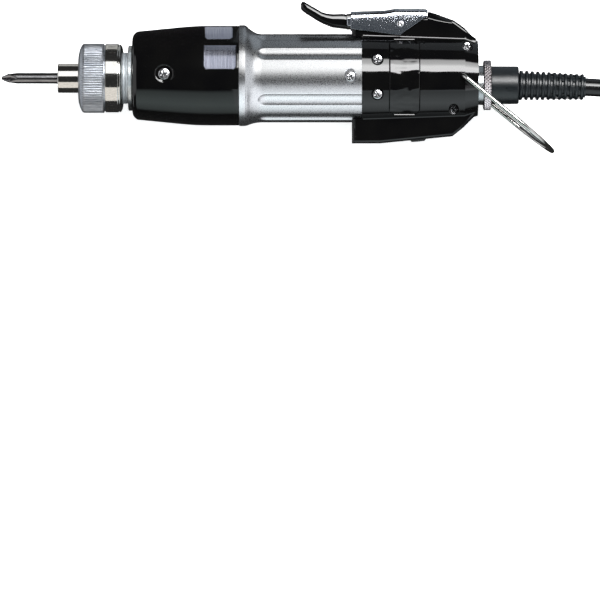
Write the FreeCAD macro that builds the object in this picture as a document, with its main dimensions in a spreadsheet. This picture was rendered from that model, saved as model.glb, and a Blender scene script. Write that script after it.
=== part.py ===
import FreeCAD
import Part
import Sketcher
import math
import os
import re

from FreeCAD import Placement, Rotation, Vector

# A corded lever-start screwdriver that lies on its side. The spindle runs along X with the bit at -X,
# +Y is the lever's side and +Z is up. The origin is on the spindle's axis at the mouth of the bit sleeve.
# Lengths are in millimetres and angles in degrees.

SIZES = {
    # gaps that many pieces share
    "fit_gap": 0.03,
    "slide_gap": 0.1,
    "rest_gap": 0.3,
    # bit
    "bit_dia": 5.0,
    "bit_reach": 26.0,
    "bit_point_long": 7.0,
    "bit_point_dia": 1.6,
    "bit_notch_deep": 0.45,
    "bit_hex": 5.0,
    "bit_hex_long": 16.0,
    # quick chuck
    "ball_dia": 2.4,
    "ball_from_mouth": 8.5,
    "spindle_dia": 9.2,
    "spindle_step": 0.6,
    "spindle_set_back": 0.5,
    "clip_from": 1.2,
    "clip_groove_deep": 0.5,
    "clip_stand": 1.1,
    "clip_thick": 0.7,
    "clip_open_angle": 40.0,
    "sleeve_wall": 0.8,
    "sleeve_long": 14.0,
    "sleeve_bevel": 0.5,
    "chamber_long": 7.0,
    "land_long": 3.0,
    "sleeve_wire": 0.6,
    "sleeve_turns": 3,
    # torque nut and its spring
    "nut_front": 9.6,
    "nut_long": 20.3,
    "nut_shoulder": 2.6,
    "nut_bevel_in": 4.4,
    "nut_bevel_long": 2.7,
    "knurl_long": 9.0,
    "nut_groove_wide": 0.7,
    "nut_groove_deep": 0.7,
    "band_set_in": 0.2,
    "nut_band_long": 6.0,
    "nut_rear_wall": 1.7,
    "nut_wall": 3.3,
    "nut_cavity_long": 3.3,
    "seat_thick": 1.3,
    "torque_wire": 2.0,
    "torque_turns": 5,
    "washer_thick": 1.5,
    "washer_stand_off": 0.8,
    # clutch housing and front ring
    "nut_gap": 2.5,
    "front_ring_thick": 1.9,
    "front_ring_wall": 3.35,
    "thread_wall": 1.7,
    "thread_long": 17.4,
    "clutch_wall": 1.1,
    "clutch_front_wall": 3.0,
    "clutch_set_back": 1.3,
    "bearing_ring": 3.0,
    "bearing_wide": 4.0,
    "bearing_wall": 1.5,
    "bearing_set_in": 0.5,
    "pin_dia": 2.0,
    "spring_room": 0.7,
    "pin_stand_out": 1.0,
    # planet gears
    "gear_module": 0.6,
    "sun_teeth": 12,
    "planet_teeth": 18,
    "pressure_angle": 20.0,
    "tooth_tip": 0.8,
    "tooth_root": 1.0,
    "backlash": 0.14,
    "ring_disc": 2.0,
    "ring_rim": 1.2,
    "carrier_gap": 0.4,
    "carrier_thick": 2.5,
    "carrier_rim_gap": 2.0,
    "planet_pin_dia": 3.0,
    "planet_wide": 7.7,
    "gear_plate_thick": 7.5,
    "pinion_seat_dia": 3.0,
    # motor
    "bush_dia": 7.0,
    "bush_set_in": 1.0,
    "motor_shaft_dia": 4.0,
    "can_wall": 1.2,
    "can_face": 1.5,
    "magnet_thick": 2.7,
    "magnet_angle": 140.0,
    "air_gap": 0.4,
    "armature_front_room": 13.0,
    "armature_rear_room": 3.5,
    "armature_slots": 7,
    "armature_slot_wide": 2.2,
    "armature_slot_deep": 5.0,
    "winding_dia": 20.0,
    "winding_hole_dia": 9.0,
    "winding_long": 6.0,
    "commutator_dia": 10.0,
    "commutator_long": 10.0,
    "holder_set_in": 3.9,
    "holder_flange_long": 6.5,
    "holder_long": 24.5,
    "holder_bore_dia": 15.0,
    "holder_wall": 3.4,
    "holder_end_wall": 4.0,
    "brush_from_can": 15.6,
    "brush_long": 5.0,
    "brush_wide": 4.0,
    "brush_tall": 8.0,
    # nose case
    "case_rise": 1.2,
    "case_long": 49.0,
    "case_wall": 2.5,
    "case_mouth_dia": 33.6,
    "case_front_wall": 1.6,
    "case_swell": 2.6,
    "case_taper_long": 26.2,
    "case_recess_dia": 8.6,
    "case_screw_from": 14.9,
    # grip tube
    "grip_long": 56.3,
    "grip_wall": 1.4,
    "flange_lip": 0.3,
    "flange_long": 3.1,
    "flare_long": 7.4,
    "flute_from": 9.2,
    "flute_wide": 6.0,
    "flute_deep": 1.0,
    "flute_angle_low": 31.5,
    "flute_angle_high": 64.5,
    "spigot_wall": 1.3,
    "spigot_long": 10.1,
    "grip_recess_long": 5.4,
    "grip_recess_wide": 7.6,
    "grip_screw_from_end": 5.3,
    # screws
    "screw_head_dia": 4.6,
    "screw_head_high": 1.1,
    "screw_dia": 2.4,
    "screw_long": 2.7,
    "long_screw_long": 14.5,
    "long_screw_seat": 7.5,
    "boss_dia": 6.4,
    # rear housing
    "rear_room": 21.0,
    "housing_lip": 0.3,
    "housing_draft": 1.6,
    "housing_bevel": 0.8,
    "housing_wall": 2.2,
    "rail_half": 8.0,
    "rail_wall": 1.8,
    "rail_round": 1.4,
    "rail_overhang": 4.4,
    "upper_rail_stand": 6.8,
    "upper_step_from": 33.9,
    "upper_step_rise": 1.9,
    "upper_knee_from": 43.9,
    "upper_knee_drop": 1.7,
    "upper_end_drop": 0.7,
    "lower_rail_stand": 9.2,
    "lower_flat_long": 8.5,
    "lower_knee_from": 39.3,
    "lower_knee_rise": 3.0,
    "lower_end_drop": 1.7,
    "cover_long": 14.3,
    "cover_edge": 3.7,
    "cover_corner": 2.5,
    "cover_from": 8.6,
    "pry_slit_long": 9.6,
    "pry_slit_high": 0.9,
    "holder_screw_from": 3.2,
    "holder_screw_high": 7.9,
    "rear_screw_from_end": 5.0,
    "rear_screw_in": 4.6,
    "low_screw_from_end": 11.3,
    "low_screw_in": 4.4,
    # start lever and its switch
    "lever_pin_from": 17.7,
    "lever_pin_under": 2.9,
    "lever_pin_dia": 3.0,
    "rivet_dia": 4.6,
    "rivet_high": 0.8,
    "lever_sheet": 1.2,
    "lever_front_gap": 5.7,
    "lever_stand": 3.3,
    "lever_crown": 0.9,
    "lever_back_rise": 0.2,
    "cheek_deep": 7.9,
    "cheek_front_deep": 5.2,
    "cheek_back_lift": 0.8,
    "finger_half": 6.6,
    "finger_reach": 22.3,
    "finger_set_in": 0.9,
    "plunger_dia": 3.0,
    "plunger_from": 5.4,
    "plunger_deep": 1.6,
    "plunger_well": 3.0,
    "switch_long": 12.8,
    "switch_high": 6.4,
    "switch_half": 3.2,
    # direction switch
    "knob_from": 26.0,
    "knob_long": 7.3,
    "knob_half": 2.7,
    "knob_stand_out": 1.0,
    "knob_stem": 4.0,
    "knob_travel": 2.0,
    "reverser_long": 17.0,
    "reverser_high": 5.6,
    # circuit board
    "board_thick": 1.6,
    "board_high": 8.0,
    "board_gap": 0.9,
    "board_from_end": 2.9,
    # socket, plug and strain relief
    "socket_drop": 3.2,
    "socket_dia": 14.8,
    "socket_long": 9.0,
    "stub_dia": 18.2,
    "stub_long": 2.5,
    "coupling_dia": 23.0,
    "coupling_long": 3.7,
    "neck_dia": 16.0,
    "boot_dia": 17.4,
    "boot_long": 12.6,
    "rib_front_dia": 12.8,
    "rib_rear_dia": 11.4,
    "rib_valley": 1.1,
    "rib_count": 12,
    "relief_long": 30.6,
    "relief_droop": 1.7,
    # hanging bail
    "bail_wire": 2.0,
    "bail_from_end": 7.2,
    "bail_high": 0.6,
    "bail_leg": 31.6,
    "bail_bend": 3.0,
    "bail_angle": 39.4,
    "bail_hook": 4.0,
    # cord, coil, tie and far plug
    "cord_dia": 8.2,
    "coil_outer": 47.0,
    "coil_gap": 0.7,
    "coil_layers": 4,
    "coil_turns_per_layer": 1.42,
    "tie_thick": 0.8,
    "tie_wide": 7.0,
    "tie_gap": 0.5,
    "plug_dia": 14.0,
    "plug_long": 24.0,
    "plug_shell_dia": 13.2,
    "plug_shell_long": 9.0,
    "plug_shell_wall": 0.8,
    "plug_pin_dia": 1.4,
    "plug_pins": 5,
}

# Places and widths that follow from the sizes, front to back.
PLACES = {
    "spindle_tail_dia": "spindle_dia - 2 * spindle_step",
    "ball_orbit": "(spindle_dia - ball_dia) / 2",
    "bit_groove_dia": "2 * ball_orbit - ball_dia - 4 * slide_gap",
    "clip_groove_dia": "spindle_dia - 2 * clip_groove_deep",
    "clip_dia": "spindle_dia + 2 * clip_stand",
    "chamber_dia": "clip_dia + 4 * slide_gap",
    "relief_dia": "chamber_dia - 2 * slide_gap",
    "sleeve_dia": "chamber_dia + 2 * sleeve_wall",
    "pin_orbit_dia": "sleeve_dia + torque_wire + 2 * spring_room",
    "spring_bore_dia": "pin_orbit_dia + torque_wire + 10 * slide_gap",
    "thread_dia": "spring_bore_dia + 2 * thread_wall",
    "front_ring_dia": "thread_dia + 2 * front_ring_wall",
    "nut_rear_dia": "thread_dia + 2 * nut_rear_wall",
    "nut_dia": "nut_rear_dia + 2 * nut_shoulder",
    "nut_band_dia": "nut_dia - 2 * band_set_in",
    "nut_groove_dia": "nut_dia - 2 * nut_groove_deep",
    "nut_face_dia": "nut_dia - 2 * nut_bevel_in",
    "bearing_dia": "spindle_tail_dia + 2 * bearing_ring",
    "clip_back": "clip_from + clip_thick",
    "land_from": "chamber_long",
    "nut_rear": "nut_front + nut_long",
    "nut_wall_back": "nut_front + nut_wall",
    "nut_thread_from": "nut_wall_back + nut_cavity_long",
    "nut_hole_dia": "sleeve_dia + 6 * slide_gap",
    "seat_back": "nut_wall_back + seat_thick",
    "case_front": "nut_rear + nut_gap + front_ring_thick",
    "shoulder": "case_front + case_wall + 2 * slide_gap",
    "thread_front": "shoulder - thread_long",
    "cup_from": "shoulder + clutch_front_wall",
    "bearing_back": "cup_from - bearing_set_in",
    "bearing_front": "bearing_back - bearing_wide",
    "spring_bore_end": "bearing_front - bearing_wall",
    "washer_back": "spring_bore_end - washer_stand_off",
    "washer_front": "washer_back - washer_thick",
    "case_back": "case_front + case_long",
    "cup_end": "case_back - clutch_set_back",
    "ring_front": "cup_from + pin_stand_out",
    "ring_disc_back": "ring_front + ring_disc",
    "carrier_front": "ring_disc_back + carrier_gap",
    "carrier_back": "carrier_front + carrier_thick",
    "planet_from": "carrier_back + carrier_gap",
    "planet_back": "planet_from + planet_wide",
    "ring_back": "planet_back + carrier_gap",
    "ring_teeth": "sun_teeth + 2 * planet_teeth",
    "planet_orbit": "gear_module * (sun_teeth + planet_teeth) / 2",
    "ring_root": "gear_module * (ring_teeth / 2 + tooth_root)",
    "can_from": "ring_back + gear_plate_thick",
    "housing_front": "case_back + grip_long",
    "flute_sink": "flute_deep - grip_dia / 2 + sqrt((grip_dia / 2)^2 - (flute_wide / 2)^2)",
    "flute_radius": "((flute_wide / 2)^2 + (flute_sink)^2) / 2 / (flute_sink)",
    "flute_orbit": "grip_dia / 2 - flute_deep + flute_radius",
    "flute_nose": "case_back + flute_from + flute_wide / 2",
    "can_end": "housing_front + holder_set_in",
    "can_dia": "2 * (ring_root + ring_rim)",
    "carrier_dia": "2 * (ring_root - carrier_rim_gap)",
    "clutch_bore_dia": "can_dia + 2 * slide_gap",
    "clutch_dia": "clutch_bore_dia + 2 * clutch_wall",
    "case_front_dia": "clutch_dia + 2 * (case_rise + slide_gap + case_front_wall)",
    "case_front_step": "(case_front_dia - case_mouth_dia) / 2",
    "case_dia": "case_front_dia + 2 * case_swell",
    "flange_dia": "case_dia + 2 * flange_lip",
    "spigot_dia": "can_dia + 2 * (rest_gap + spigot_wall)",
    "grip_bore_dia": "can_dia + 8 * slide_gap",
    "grip_dia": "spigot_dia + 2 * (slide_gap + flute_deep + grip_wall)",
    "housing_front_dia": "grip_dia + 2 * housing_lip",
    "housing_rear_dia": "housing_front_dia - 2 * housing_draft",
    "upper_rail_high": "housing_front_dia / 2 + upper_rail_stand",
    "upper_step_high": "upper_rail_high + upper_step_rise",
    "upper_knee_high": "upper_rail_high - upper_knee_drop",
    "upper_end_high": "housing_rear_dia / 2 - upper_end_drop",
    "lower_rail_deep": "housing_front_dia / 2 + lower_rail_stand",
    "lower_knee_deep": "lower_rail_deep - lower_knee_rise",
    "lower_end_deep": "housing_rear_dia / 2 - lower_end_drop",
    "cover_half_high": "housing_front_dia / 2 - cover_edge",
    "rear_screw_high": "housing_rear_dia / 2 - rear_screw_in",
    "low_screw_deep": "housing_rear_dia / 2 - low_screw_in",
    "lever_pin_high": "upper_rail_high - lever_pin_under",
    "lever_front_top": "upper_rail_high + lever_stand",
    "lever_top": "lever_front_top + lever_crown",
    "lever_back_top": "lever_front_top + lever_back_rise",
    "lever_cheek_low": "upper_rail_high - cheek_deep",
    "lever_front_low": "upper_rail_high - cheek_front_deep",
    "lever_back_low": "upper_rail_high + cheek_back_lift",
    "board_half": "sqrt((hollow_rear)^2 - (board_high + board_thick)^2) - 2 * rest_gap",
    "armature_from": "can_from + armature_front_room",
    "armature_end": "can_end - armature_rear_room",
    "armature_dia": "can_dia - 2 * (can_wall + fit_gap + magnet_thick + air_gap)",
    "brush_middle": "can_end + brush_from_can",
    "holder_flange_back": "can_end + holder_flange_long",
    "holder_end": "can_end + holder_long",
    "shaft_end": "holder_end + holder_end_wall",
    "housing_back": "shaft_end + rear_room",
    "housing_long": "housing_back - housing_front",
    "housing_slope": "(housing_front_dia - housing_rear_dia) / 2 / housing_long",
    "hollow_end": "housing_back - housing_wall",
    "hollow_front": "housing_front_dia / 2 - housing_wall",
    "hollow_rear": "housing_rear_dia / 2 - housing_wall + housing_slope * housing_wall",
    "rail_front": "housing_front - rail_overhang",
    "upper_step": "housing_front + upper_step_from",
    "upper_knee": "housing_front + upper_knee_from",
    "lower_flat_end": "housing_front + lower_flat_long",
    "lower_knee": "housing_front + lower_knee_from",
    "lever_pin_x": "housing_front + lever_pin_from",
    "lever_front": "housing_front - lever_front_gap",
    "lever_back": "upper_step - 4 * slide_gap",
    "lever_inner_half": "rail_half + 4 * slide_gap",
    "plunger_x": "housing_front + plunger_from",
    "switch_top": "upper_rail_high - rail_wall - rest_gap",
    "knob_x": "housing_front + knob_from",
    "bail_x": "housing_back - bail_from_end",
    "bail_half": "flange_dia / 2 - bail_wire / 2",
    "stub_back": "housing_back + stub_long",
    "coupling_back": "stub_back + coupling_long",
    "boot_back": "coupling_back + boot_long",
    "coil_step": "cord_dia + coil_gap",
    "floor_depth": "flange_dia / 2",
}

doc = FreeCAD.newDocument("ElectricScrewdriver")
sheet = doc.addObject("Spreadsheet::Sheet", "Sizes")
for row, (name, value) in enumerate(SIZES.items(), 1):
    sheet.set("A%d" % row, name)
    sheet.set("B%d" % row, str(value))
    sheet.setAlias("B%d" % row, name)
doc.recompute()

pieces = {}


def bound(formula):
    """A formula of named sizes and places, with each name pointing at its cell in the sheet."""

    def swap(found):
        word = found[0]
        if word in SIZES:
            return "Sizes." + word
        if word in PLACES:
            return "(" + bound(PLACES[word]) + ")"
        return word

    return re.sub(r"[a-z_]\w*", swap, formula)


def number(formula):
    """What a formula comes to with the sheet's sizes."""
    return float(sheet.evalExpression(bound(formula)))


def bind(thing, **formulas):
    """Tie properties of a document object to formulas of the sizes."""
    for prop, formula in formulas.items():
        thing.setExpression(prop.replace("__", "."), bound(formula))
    return thing


def place(thing, x="0", y="0", z="0"):
    """Tie an object's place to formulas of the sizes."""
    return bind(thing, Placement__Base__x=x, Placement__Base__y=y, Placement__Base__z=z)


def keep(label, thing):
    """Name a finished piece."""
    thing.Label = label
    pieces[label] = thing
    return thing


def outline(sketch, corners):
    """Draw a closed outline. A corner is (x, y), or (x, y, radius) where an arc leads to the next corner:
    a positive radius turns left on the way, a negative one turns right."""
    spots = [Vector(number(corner[0]), number(corner[1]), 0) for corner in corners]
    ends = []
    for index, corner in enumerate(corners):
        start = spots[index]
        stop = spots[(index + 1) % len(spots)]
        if len(corner) == 2:
            sketch.addGeometry(Part.LineSegment(start, stop), False)
            ends.append((1, 2))
            continue
        radius = number(corner[2])
        half = (stop - start) * 0.5
        side = Vector(-half.y, half.x, 0).normalize()
        rise = math.sqrt(radius**2 - half.Length**2)
        centre = start + half + side * math.copysign(rise, radius)
        first, last = (start, stop) if radius > 0 else (stop, start)
        angles = [math.atan2(spot.y - centre.y, spot.x - centre.x) for spot in (first, last)]
        circle = Part.Circle(centre, Vector(0, 0, 1), abs(radius))
        sketch.addGeometry(Part.ArcOfCircle(circle, angles[0], angles[1]), False)
        ends.append((1, 2) if radius > 0 else (2, 1))
    for index in range(len(corners)):
        following = (index + 1) % len(corners)
        joint = Sketcher.Constraint("Coincident", index, ends[index][1], following, ends[following][0])
        sketch.addConstraint(joint)
    for index, corner in enumerate(corners):
        for axis, kind, line in ((0, "DistanceX", -2), (1, "DistanceY", -1)):
            if corner[axis] == "0":
                sketch.addConstraint(Sketcher.Constraint("PointOnObject", index, ends[index][0], line))
                continue
            spot = spots[index][axis]
            size = sketch.addConstraint(Sketcher.Constraint(kind, -1, 1, index, ends[index][0], spot))
            sketch.setExpression("Constraints[%d]" % size, bound(corner[axis]))
        if len(corner) == 3:
            size = sketch.addConstraint(Sketcher.Constraint("Radius", index, abs(number(corner[2]))))
            sketch.setExpression("Constraints[%d]" % size, bound("abs(%s)" % corner[2]))
    return sketch


def base_plane(body, role):
    """One of a body's own origin planes."""
    return next(feature for feature in body.Origin.OriginFeatures if feature.Role == role)


def turned(corners, rise="0", sweep="360"):
    """A body turned about X from its half section, drawn as (x, radius). Rise lifts its axis along Y."""
    body = doc.addObject("PartDesign::Body", "turned")
    sketch = body.newObject("Sketcher::SketchObject", "half_section")
    sketch.AttachmentSupport = [(base_plane(body, "XY_Plane"), "")]
    sketch.MapMode = "FlatFace"
    outline(sketch, corners)
    turn = body.newObject("PartDesign::Revolution", "turn")
    turn.Profile = sketch
    turn.ReferenceAxis = (sketch, ["H_Axis"])
    bind(turn, Angle=sweep)
    if rise != "0":
        place(body, y=rise)
    return body


def ring(inner_dia, outer_dia, front, back, rise="0"):
    """A plain turned ring."""
    inner = "(%s) / 2" % inner_dia
    outer = "(%s) / 2" % outer_dia
    return turned([(front, inner), (front, outer), (back, outer), (back, inner)], rise)


def slab(corners, half):
    """A flat piece: an outline in X and Y with the same thickness on both sides of the middle plane."""
    sketch = doc.addObject("Sketcher::SketchObject", "side_outline")
    outline(sketch, corners)
    flat = doc.addObject("Part::Extrusion", "slab")
    flat.Base = sketch
    flat.DirMode = "Normal"
    flat.Solid = True
    return bind(flat, LengthFwd=half, LengthRev=half)


def block(x, y, z):
    """A box between pairs of places along each axis."""
    box = doc.addObject("Part::Box", "block")
    spans = ["(%s) - (%s)" % (high, low) for low, high in (x, y, z)]
    bind(box, Length=spans[0], Width=spans[1], Height=spans[2])
    return place(box, x[0], y[0], z[0])


def rounded_block(x, y, z, radius):
    """A box whose four edges along Z are rounded."""
    box = block(x, y, z)
    doc.recompute()
    rounding = doc.addObject("Part::Fillet", "rounding")
    rounding.Base = box
    size = number(radius)
    upright = [
        (index, size, size)
        for index, edge in enumerate(box.Shape.Edges, 1)
        if abs(edge.tangentAt(edge.FirstParameter).z) > 0.9
    ]
    rounding.Edges = upright
    return rounding


TURN_TO = {
    "x": Rotation(Vector(0, 0, 1), Vector(1, 0, 0)),
    "y": Rotation(Vector(0, 0, 1), Vector(0, 1, 0)),
    "z": Rotation(),
}


def rod(axis, dia, start, stop, across=("0", "0")):
    """A round bar along an axis. Across gives its place on the two other axes, in order."""
    bar = doc.addObject("Part::Cylinder", "rod")
    bind(bar, Radius="(%s) / 2" % dia, Height="(%s) - (%s)" % (stop, start))
    bar.Placement = Placement(Vector(), TURN_TO[axis])
    spot = list(across)
    spot.insert("xyz".index(axis), start)
    return place(bar, *spot)


def taper(front_dia, back_dia, front, back):
    """A cone along X."""
    cone = doc.addObject("Part::Cone", "taper")
    bind(cone, Radius1="(%s) / 2" % front_dia, Radius2="(%s) / 2" % back_dia)
    bind(cone, Height="(%s) - (%s)" % (back, front))
    cone.Placement = Placement(Vector(), TURN_TO["x"])
    return place(cone, front)


def hexagon(across_flats, front, back):
    """A six-sided bar along X."""
    bar = doc.addObject("Part::Prism", "hexagon")
    bind(bar, Circumradius="(%s) / sqrt(3)" % across_flats, Height="(%s) - (%s)" % (back, front))
    bar.Placement = Placement(Vector(), TURN_TO["x"])
    return place(bar, front)


def joined(*things):
    """Several overlapping solids as one."""
    whole = doc.addObject("Part::MultiFuse", "joined")
    whole.Shapes = list(things)
    return whole


def cut(base, *tools):
    """A solid with others taken out of it."""
    left = doc.addObject("Part::Cut", "cut")
    left.Base = base
    left.Tool = tools[0] if len(tools) == 1 else joined(*tools)
    return left


def shared(first, second):
    """What two solids have in common."""
    both = doc.addObject("Part::Common", "shared")
    both.Base = first
    both.Tool = second
    return both


def group(*things):
    """Separate solids of one kind."""
    together = doc.addObject("Part::Compound", "group")
    together.Links = list(things)
    return together


def formed(shape):
    """A shape that is worked out by formula, such as a gear or a wound wire."""
    feature = doc.addObject("Part::Feature", "formed")
    feature.Shape = shape
    return feature


def arc_between(start, heading, stop):
    """The arc that leaves start along heading and ends at stop."""
    chord = stop - start
    along = chord * (1 / chord.Length)
    lean = heading - along * heading.dot(along)
    if lean.Length < 1e-7:
        return Part.LineSegment(start, stop).toShape()
    bend = math.acos(max(-1.0, min(1.0, heading.dot(along) / heading.Length)))
    middle = start + chord * 0.5 + lean.normalize() * (chord.Length / 2 * math.tan(bend / 2))
    return Part.Arc(start, middle, stop).toShape()


def biarc(start, heading, stop, final):
    """Two arcs that meet smoothly, from start along heading to stop along final."""
    span = stop - start
    both = heading + final
    bend = 2 * (1 - heading.dot(final))
    if bend < 1e-9:
        reach = span.dot(span) / (2 * span.dot(both))
    else:
        reach = (-span.dot(both) + math.sqrt(span.dot(both) ** 2 + bend * span.dot(span))) / bend
    meeting = (start + stop + (heading - final) * reach) * 0.5
    return [arc_between(start, heading, meeting), arc_between(stop, final * -1, meeting)]


def section(sides, dia, spot, heading):
    """The outline of a round wire, or of one with flat sides, square to its heading."""
    if not sides:
        return Part.Wire(Part.Circle(spot, heading, dia / 2).toShape())
    turn = Rotation(Vector(0, 0, 1), heading)
    corners = [
        spot + turn.multVec(Vector(math.cos(angle), math.sin(angle), 0) * (dia / 2))
        for angle in (math.tau * side / sides for side in range(sides))
    ]
    return Part.makePolygon(corners + corners[:1])


def swept(edges, dia, sides, spot, heading):
    """A solid wire or tube that follows edges."""
    path = Part.Wire(Part.__sortEdges__(edges))
    return path.makePipeShell([section(sides, dia, spot, heading)], True, False), path


def wound(track, turns, dia, sides, ends=None):
    """A wire along track(turn), which gives a point for any count of turns, by biarcs of a quarter turn.
    Ends are the headings of a straight lead and tail that are one wire thickness long."""
    step = 0.25
    count = max(1, round(turns / step))
    counts = [turns * index / count for index in range(count + 1)]
    spots = [track(turn) for turn in counts]
    tiny = 1e-4
    headings = [(track(turn + tiny) - track(turn - tiny)).normalize() for turn in counts]
    edges = []
    start = spots[0]
    if ends:
        headings[0], headings[-1] = ends
        start = spots[0] - headings[0] * dia
        edges.append(Part.LineSegment(start, spots[0]).toShape())
    for index in range(count):
        edges += biarc(spots[index], headings[index], spots[index + 1], headings[index + 1])
    if ends:
        edges.append(Part.LineSegment(spots[-1], spots[-1] + headings[-1] * dia).toShape())
    return swept(edges, dia, sides, start, headings[0])


def helix_spring(front, back, mean_dia, wire, turns):
    """A compression spring along X between two faces."""
    low = number(front) + 0.55 * number(wire)
    high = number(back) - 0.55 * number(wire)
    radius = number(mean_dia) / 2
    count = number(turns)

    def track(turn):
        angle = math.tau * turn
        return Vector(low + (high - low) * turn / count, radius * math.cos(angle), radius * math.sin(angle))

    return formed(wound(track, count, number(wire), 8)[0])


def tooth_outline(teeth, low, high, thicken):
    """The face of a toothed wheel across X: teeth with involute flanks between two radii."""
    pitch = number("gear_module") * teeth / 2
    slope = math.radians(number("pressure_angle"))
    base = pitch * math.cos(slope)
    half = math.pi / 2 / teeth + thicken / 2 / pitch + math.tan(slope) - slope

    def half_angle(radius):
        lean = math.acos(min(1.0, base / radius))
        return half - (math.tan(lean) - lean)

    radii = [low] + [max(low, base) + (high - max(low, base)) * part / 3 for part in range(4)]
    if base <= low:
        radii = radii[1:]
    corners = []
    for tooth in range(teeth):
        middle = math.tau * tooth / teeth
        rising = [(radius, middle - half_angle(radius)) for radius in radii]
        falling = [(radius, middle + half_angle(radius)) for radius in reversed(radii)]
        corners += [Vector(0, r * math.cos(angle), r * math.sin(angle)) for r, angle in rising + falling]
    return Part.Face(Part.makePolygon(corners + corners[:1]))


def toothed_bar(teeth, low, high, thicken, front, back):
    """A toothed wheel as a solid bar along X."""
    bar = tooth_outline(teeth, low, high, thicken).extrude(Vector(back - front, 0, 0))
    bar.translate(Vector(front, 0, 0))
    return bar


def round_bar(dia, front, back):
    """A plain round bar along X, as a bare shape."""
    return Part.makeCylinder(dia / 2, back - front, Vector(front, 0, 0), Vector(1, 0, 0))


# Bit: a round shank with a cross point and a hexagonal tail with a groove for the lock balls.
bit_shank = turned([
    ("-bit_reach", "0"),
    ("-bit_reach", "bit_point_dia / 2"),
    ("bit_point_long - bit_reach", "bit_dia / 2"),
    ("0", "bit_dia / 2"),
    ("0", "0"),
])
notches = []
notch_deep = number("bit_notch_deep")
notch_long = number("bit_point_long")
notch_lean = math.degrees(math.atan2(number("bit_dia / 2") - notch_deep, notch_long))
for quarter in range(4):
    notch = block(("0", "2 * bit_point_long"), ("0", "bit_dia"), ("0", "bit_dia"))
    outward = Rotation(Vector(1, 0, 0), 90 * quarter)
    lean = Rotation(Vector(0, -1, 1), notch_lean)
    corner = outward.multVec(Vector(0, notch_deep, notch_deep) * math.sqrt(0.5))
    notch.Placement = Placement(corner, outward * lean)
    notches.append(place(notch, "-bit_reach", str(corner.y), str(corner.z)))
bit_tail = hexagon("bit_hex", "0", "bit_hex_long")
ball_groove = ring(
    "bit_groove_dia", "2 * bit_hex", "ball_from_mouth - 0.6 * ball_dia", "ball_from_mouth + 0.6 * ball_dia"
)
keep("screwdriver_bit", cut(joined(bit_shank, bit_tail), ball_groove, *notches))

# Spindle: holds the bit in a hexagonal socket, with a hole for the lock balls and a groove for the clip.
spindle_blank = turned([
    ("spindle_set_back", "0"),
    ("spindle_set_back", "spindle_dia / 2"),
    ("clip_from - slide_gap", "spindle_dia / 2"),
    ("clip_from - slide_gap", "clip_groove_dia / 2"),
    ("clip_back + slide_gap", "clip_groove_dia / 2"),
    ("clip_back + slide_gap", "spindle_dia / 2"),
    ("bearing_front", "spindle_dia / 2"),
    ("bearing_front", "spindle_tail_dia / 2"),
    ("carrier_back", "spindle_tail_dia / 2"),
    ("carrier_back", "0"),
])
bit_socket = hexagon("bit_hex + 2 * fit_gap", "0", "bit_hex_long + rest_gap")
ball_hole = rod(
    "z", "ball_dia + 2 * fit_gap", "-spindle_dia", "spindle_dia", ("ball_from_mouth", "0")
)
keep("spindle", cut(spindle_blank, bit_socket, ball_hole))

# Lock balls: two steel balls that drop into the bit's groove.
balls = []
for side in ("", "-"):
    ball = doc.addObject("Part::Sphere", "ball")
    bind(ball, Radius="ball_dia / 2")
    balls.append(place(ball, "ball_from_mouth", "0", side + "ball_orbit"))
keep("lock_balls", group(*balls))

# Retaining clip: an open ring that stops the sleeve spring.
keep("retaining_clip", turned([
    ("clip_from", "clip_groove_dia / 2 + fit_gap"),
    ("clip_from", "clip_dia / 2"),
    ("clip_back", "clip_dia / 2"),
    ("clip_back", "clip_groove_dia / 2 + fit_gap"),
], sweep="360 - clip_open_angle"))

# Bit sleeve: slides forward to let the balls out. Its land holds them in.
keep("bit_sleeve", turned([
    ("0", "chamber_dia / 2"),
    ("0", "sleeve_dia / 2 - sleeve_bevel"),
    ("sleeve_bevel", "sleeve_dia / 2"),
    ("sleeve_long - sleeve_bevel", "sleeve_dia / 2"),
    ("sleeve_long", "sleeve_dia / 2 - sleeve_bevel"),
    ("sleeve_long", "relief_dia / 2"),
    ("land_from + land_long", "relief_dia / 2"),
    ("land_from + land_long", "spindle_dia / 2 + fit_gap"),
    ("land_from", "spindle_dia / 2 + fit_gap"),
    ("land_from", "chamber_dia / 2"),
]))
keep("sleeve_spring", helix_spring(
    "clip_back", "land_from", "(spindle_dia + chamber_dia) / 2", "sleeve_wire", "sleeve_turns"
))

# Torque nut: screws along the nose to press the torque spring. Knurled band, groove, plain band.
knurl_back = "nut_front + nut_bevel_long + knurl_long"
band_front = knurl_back + " + nut_groove_wide"
band_back = band_front + " + nut_band_long"
keep("torque_nut", turned([
    ("nut_front", "nut_hole_dia / 2"),
    ("nut_front", "nut_face_dia / 2"),
    ("nut_front + nut_bevel_long", "nut_dia / 2"),
    (knurl_back, "nut_dia / 2"),
    (knurl_back, "nut_groove_dia / 2"),
    (band_front, "nut_groove_dia / 2"),
    (band_front, "nut_band_dia / 2"),
    (band_back, "nut_band_dia / 2"),
    ("nut_rear", "nut_rear_dia / 2"),
    ("nut_rear", "thread_dia / 2 + fit_gap"),
    ("nut_thread_from", "thread_dia / 2 + fit_gap"),
    ("nut_thread_from", "spring_bore_dia / 2"),
    ("nut_wall_back", "spring_bore_dia / 2"),
    ("nut_wall_back", "nut_hole_dia / 2"),
]))
keep("spring_seat", ring("nut_hole_dia", "spring_bore_dia - 4 * slide_gap", "nut_wall_back", "seat_back"))
keep("torque_spring", helix_spring("seat_back", "washer_front", "pin_orbit_dia", "torque_wire", "torque_turns"))
keep("push_washer", ring(
    "spindle_dia + 8 * slide_gap", "spring_bore_dia - 4 * slide_gap", "washer_front", "washer_back"
))

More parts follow.
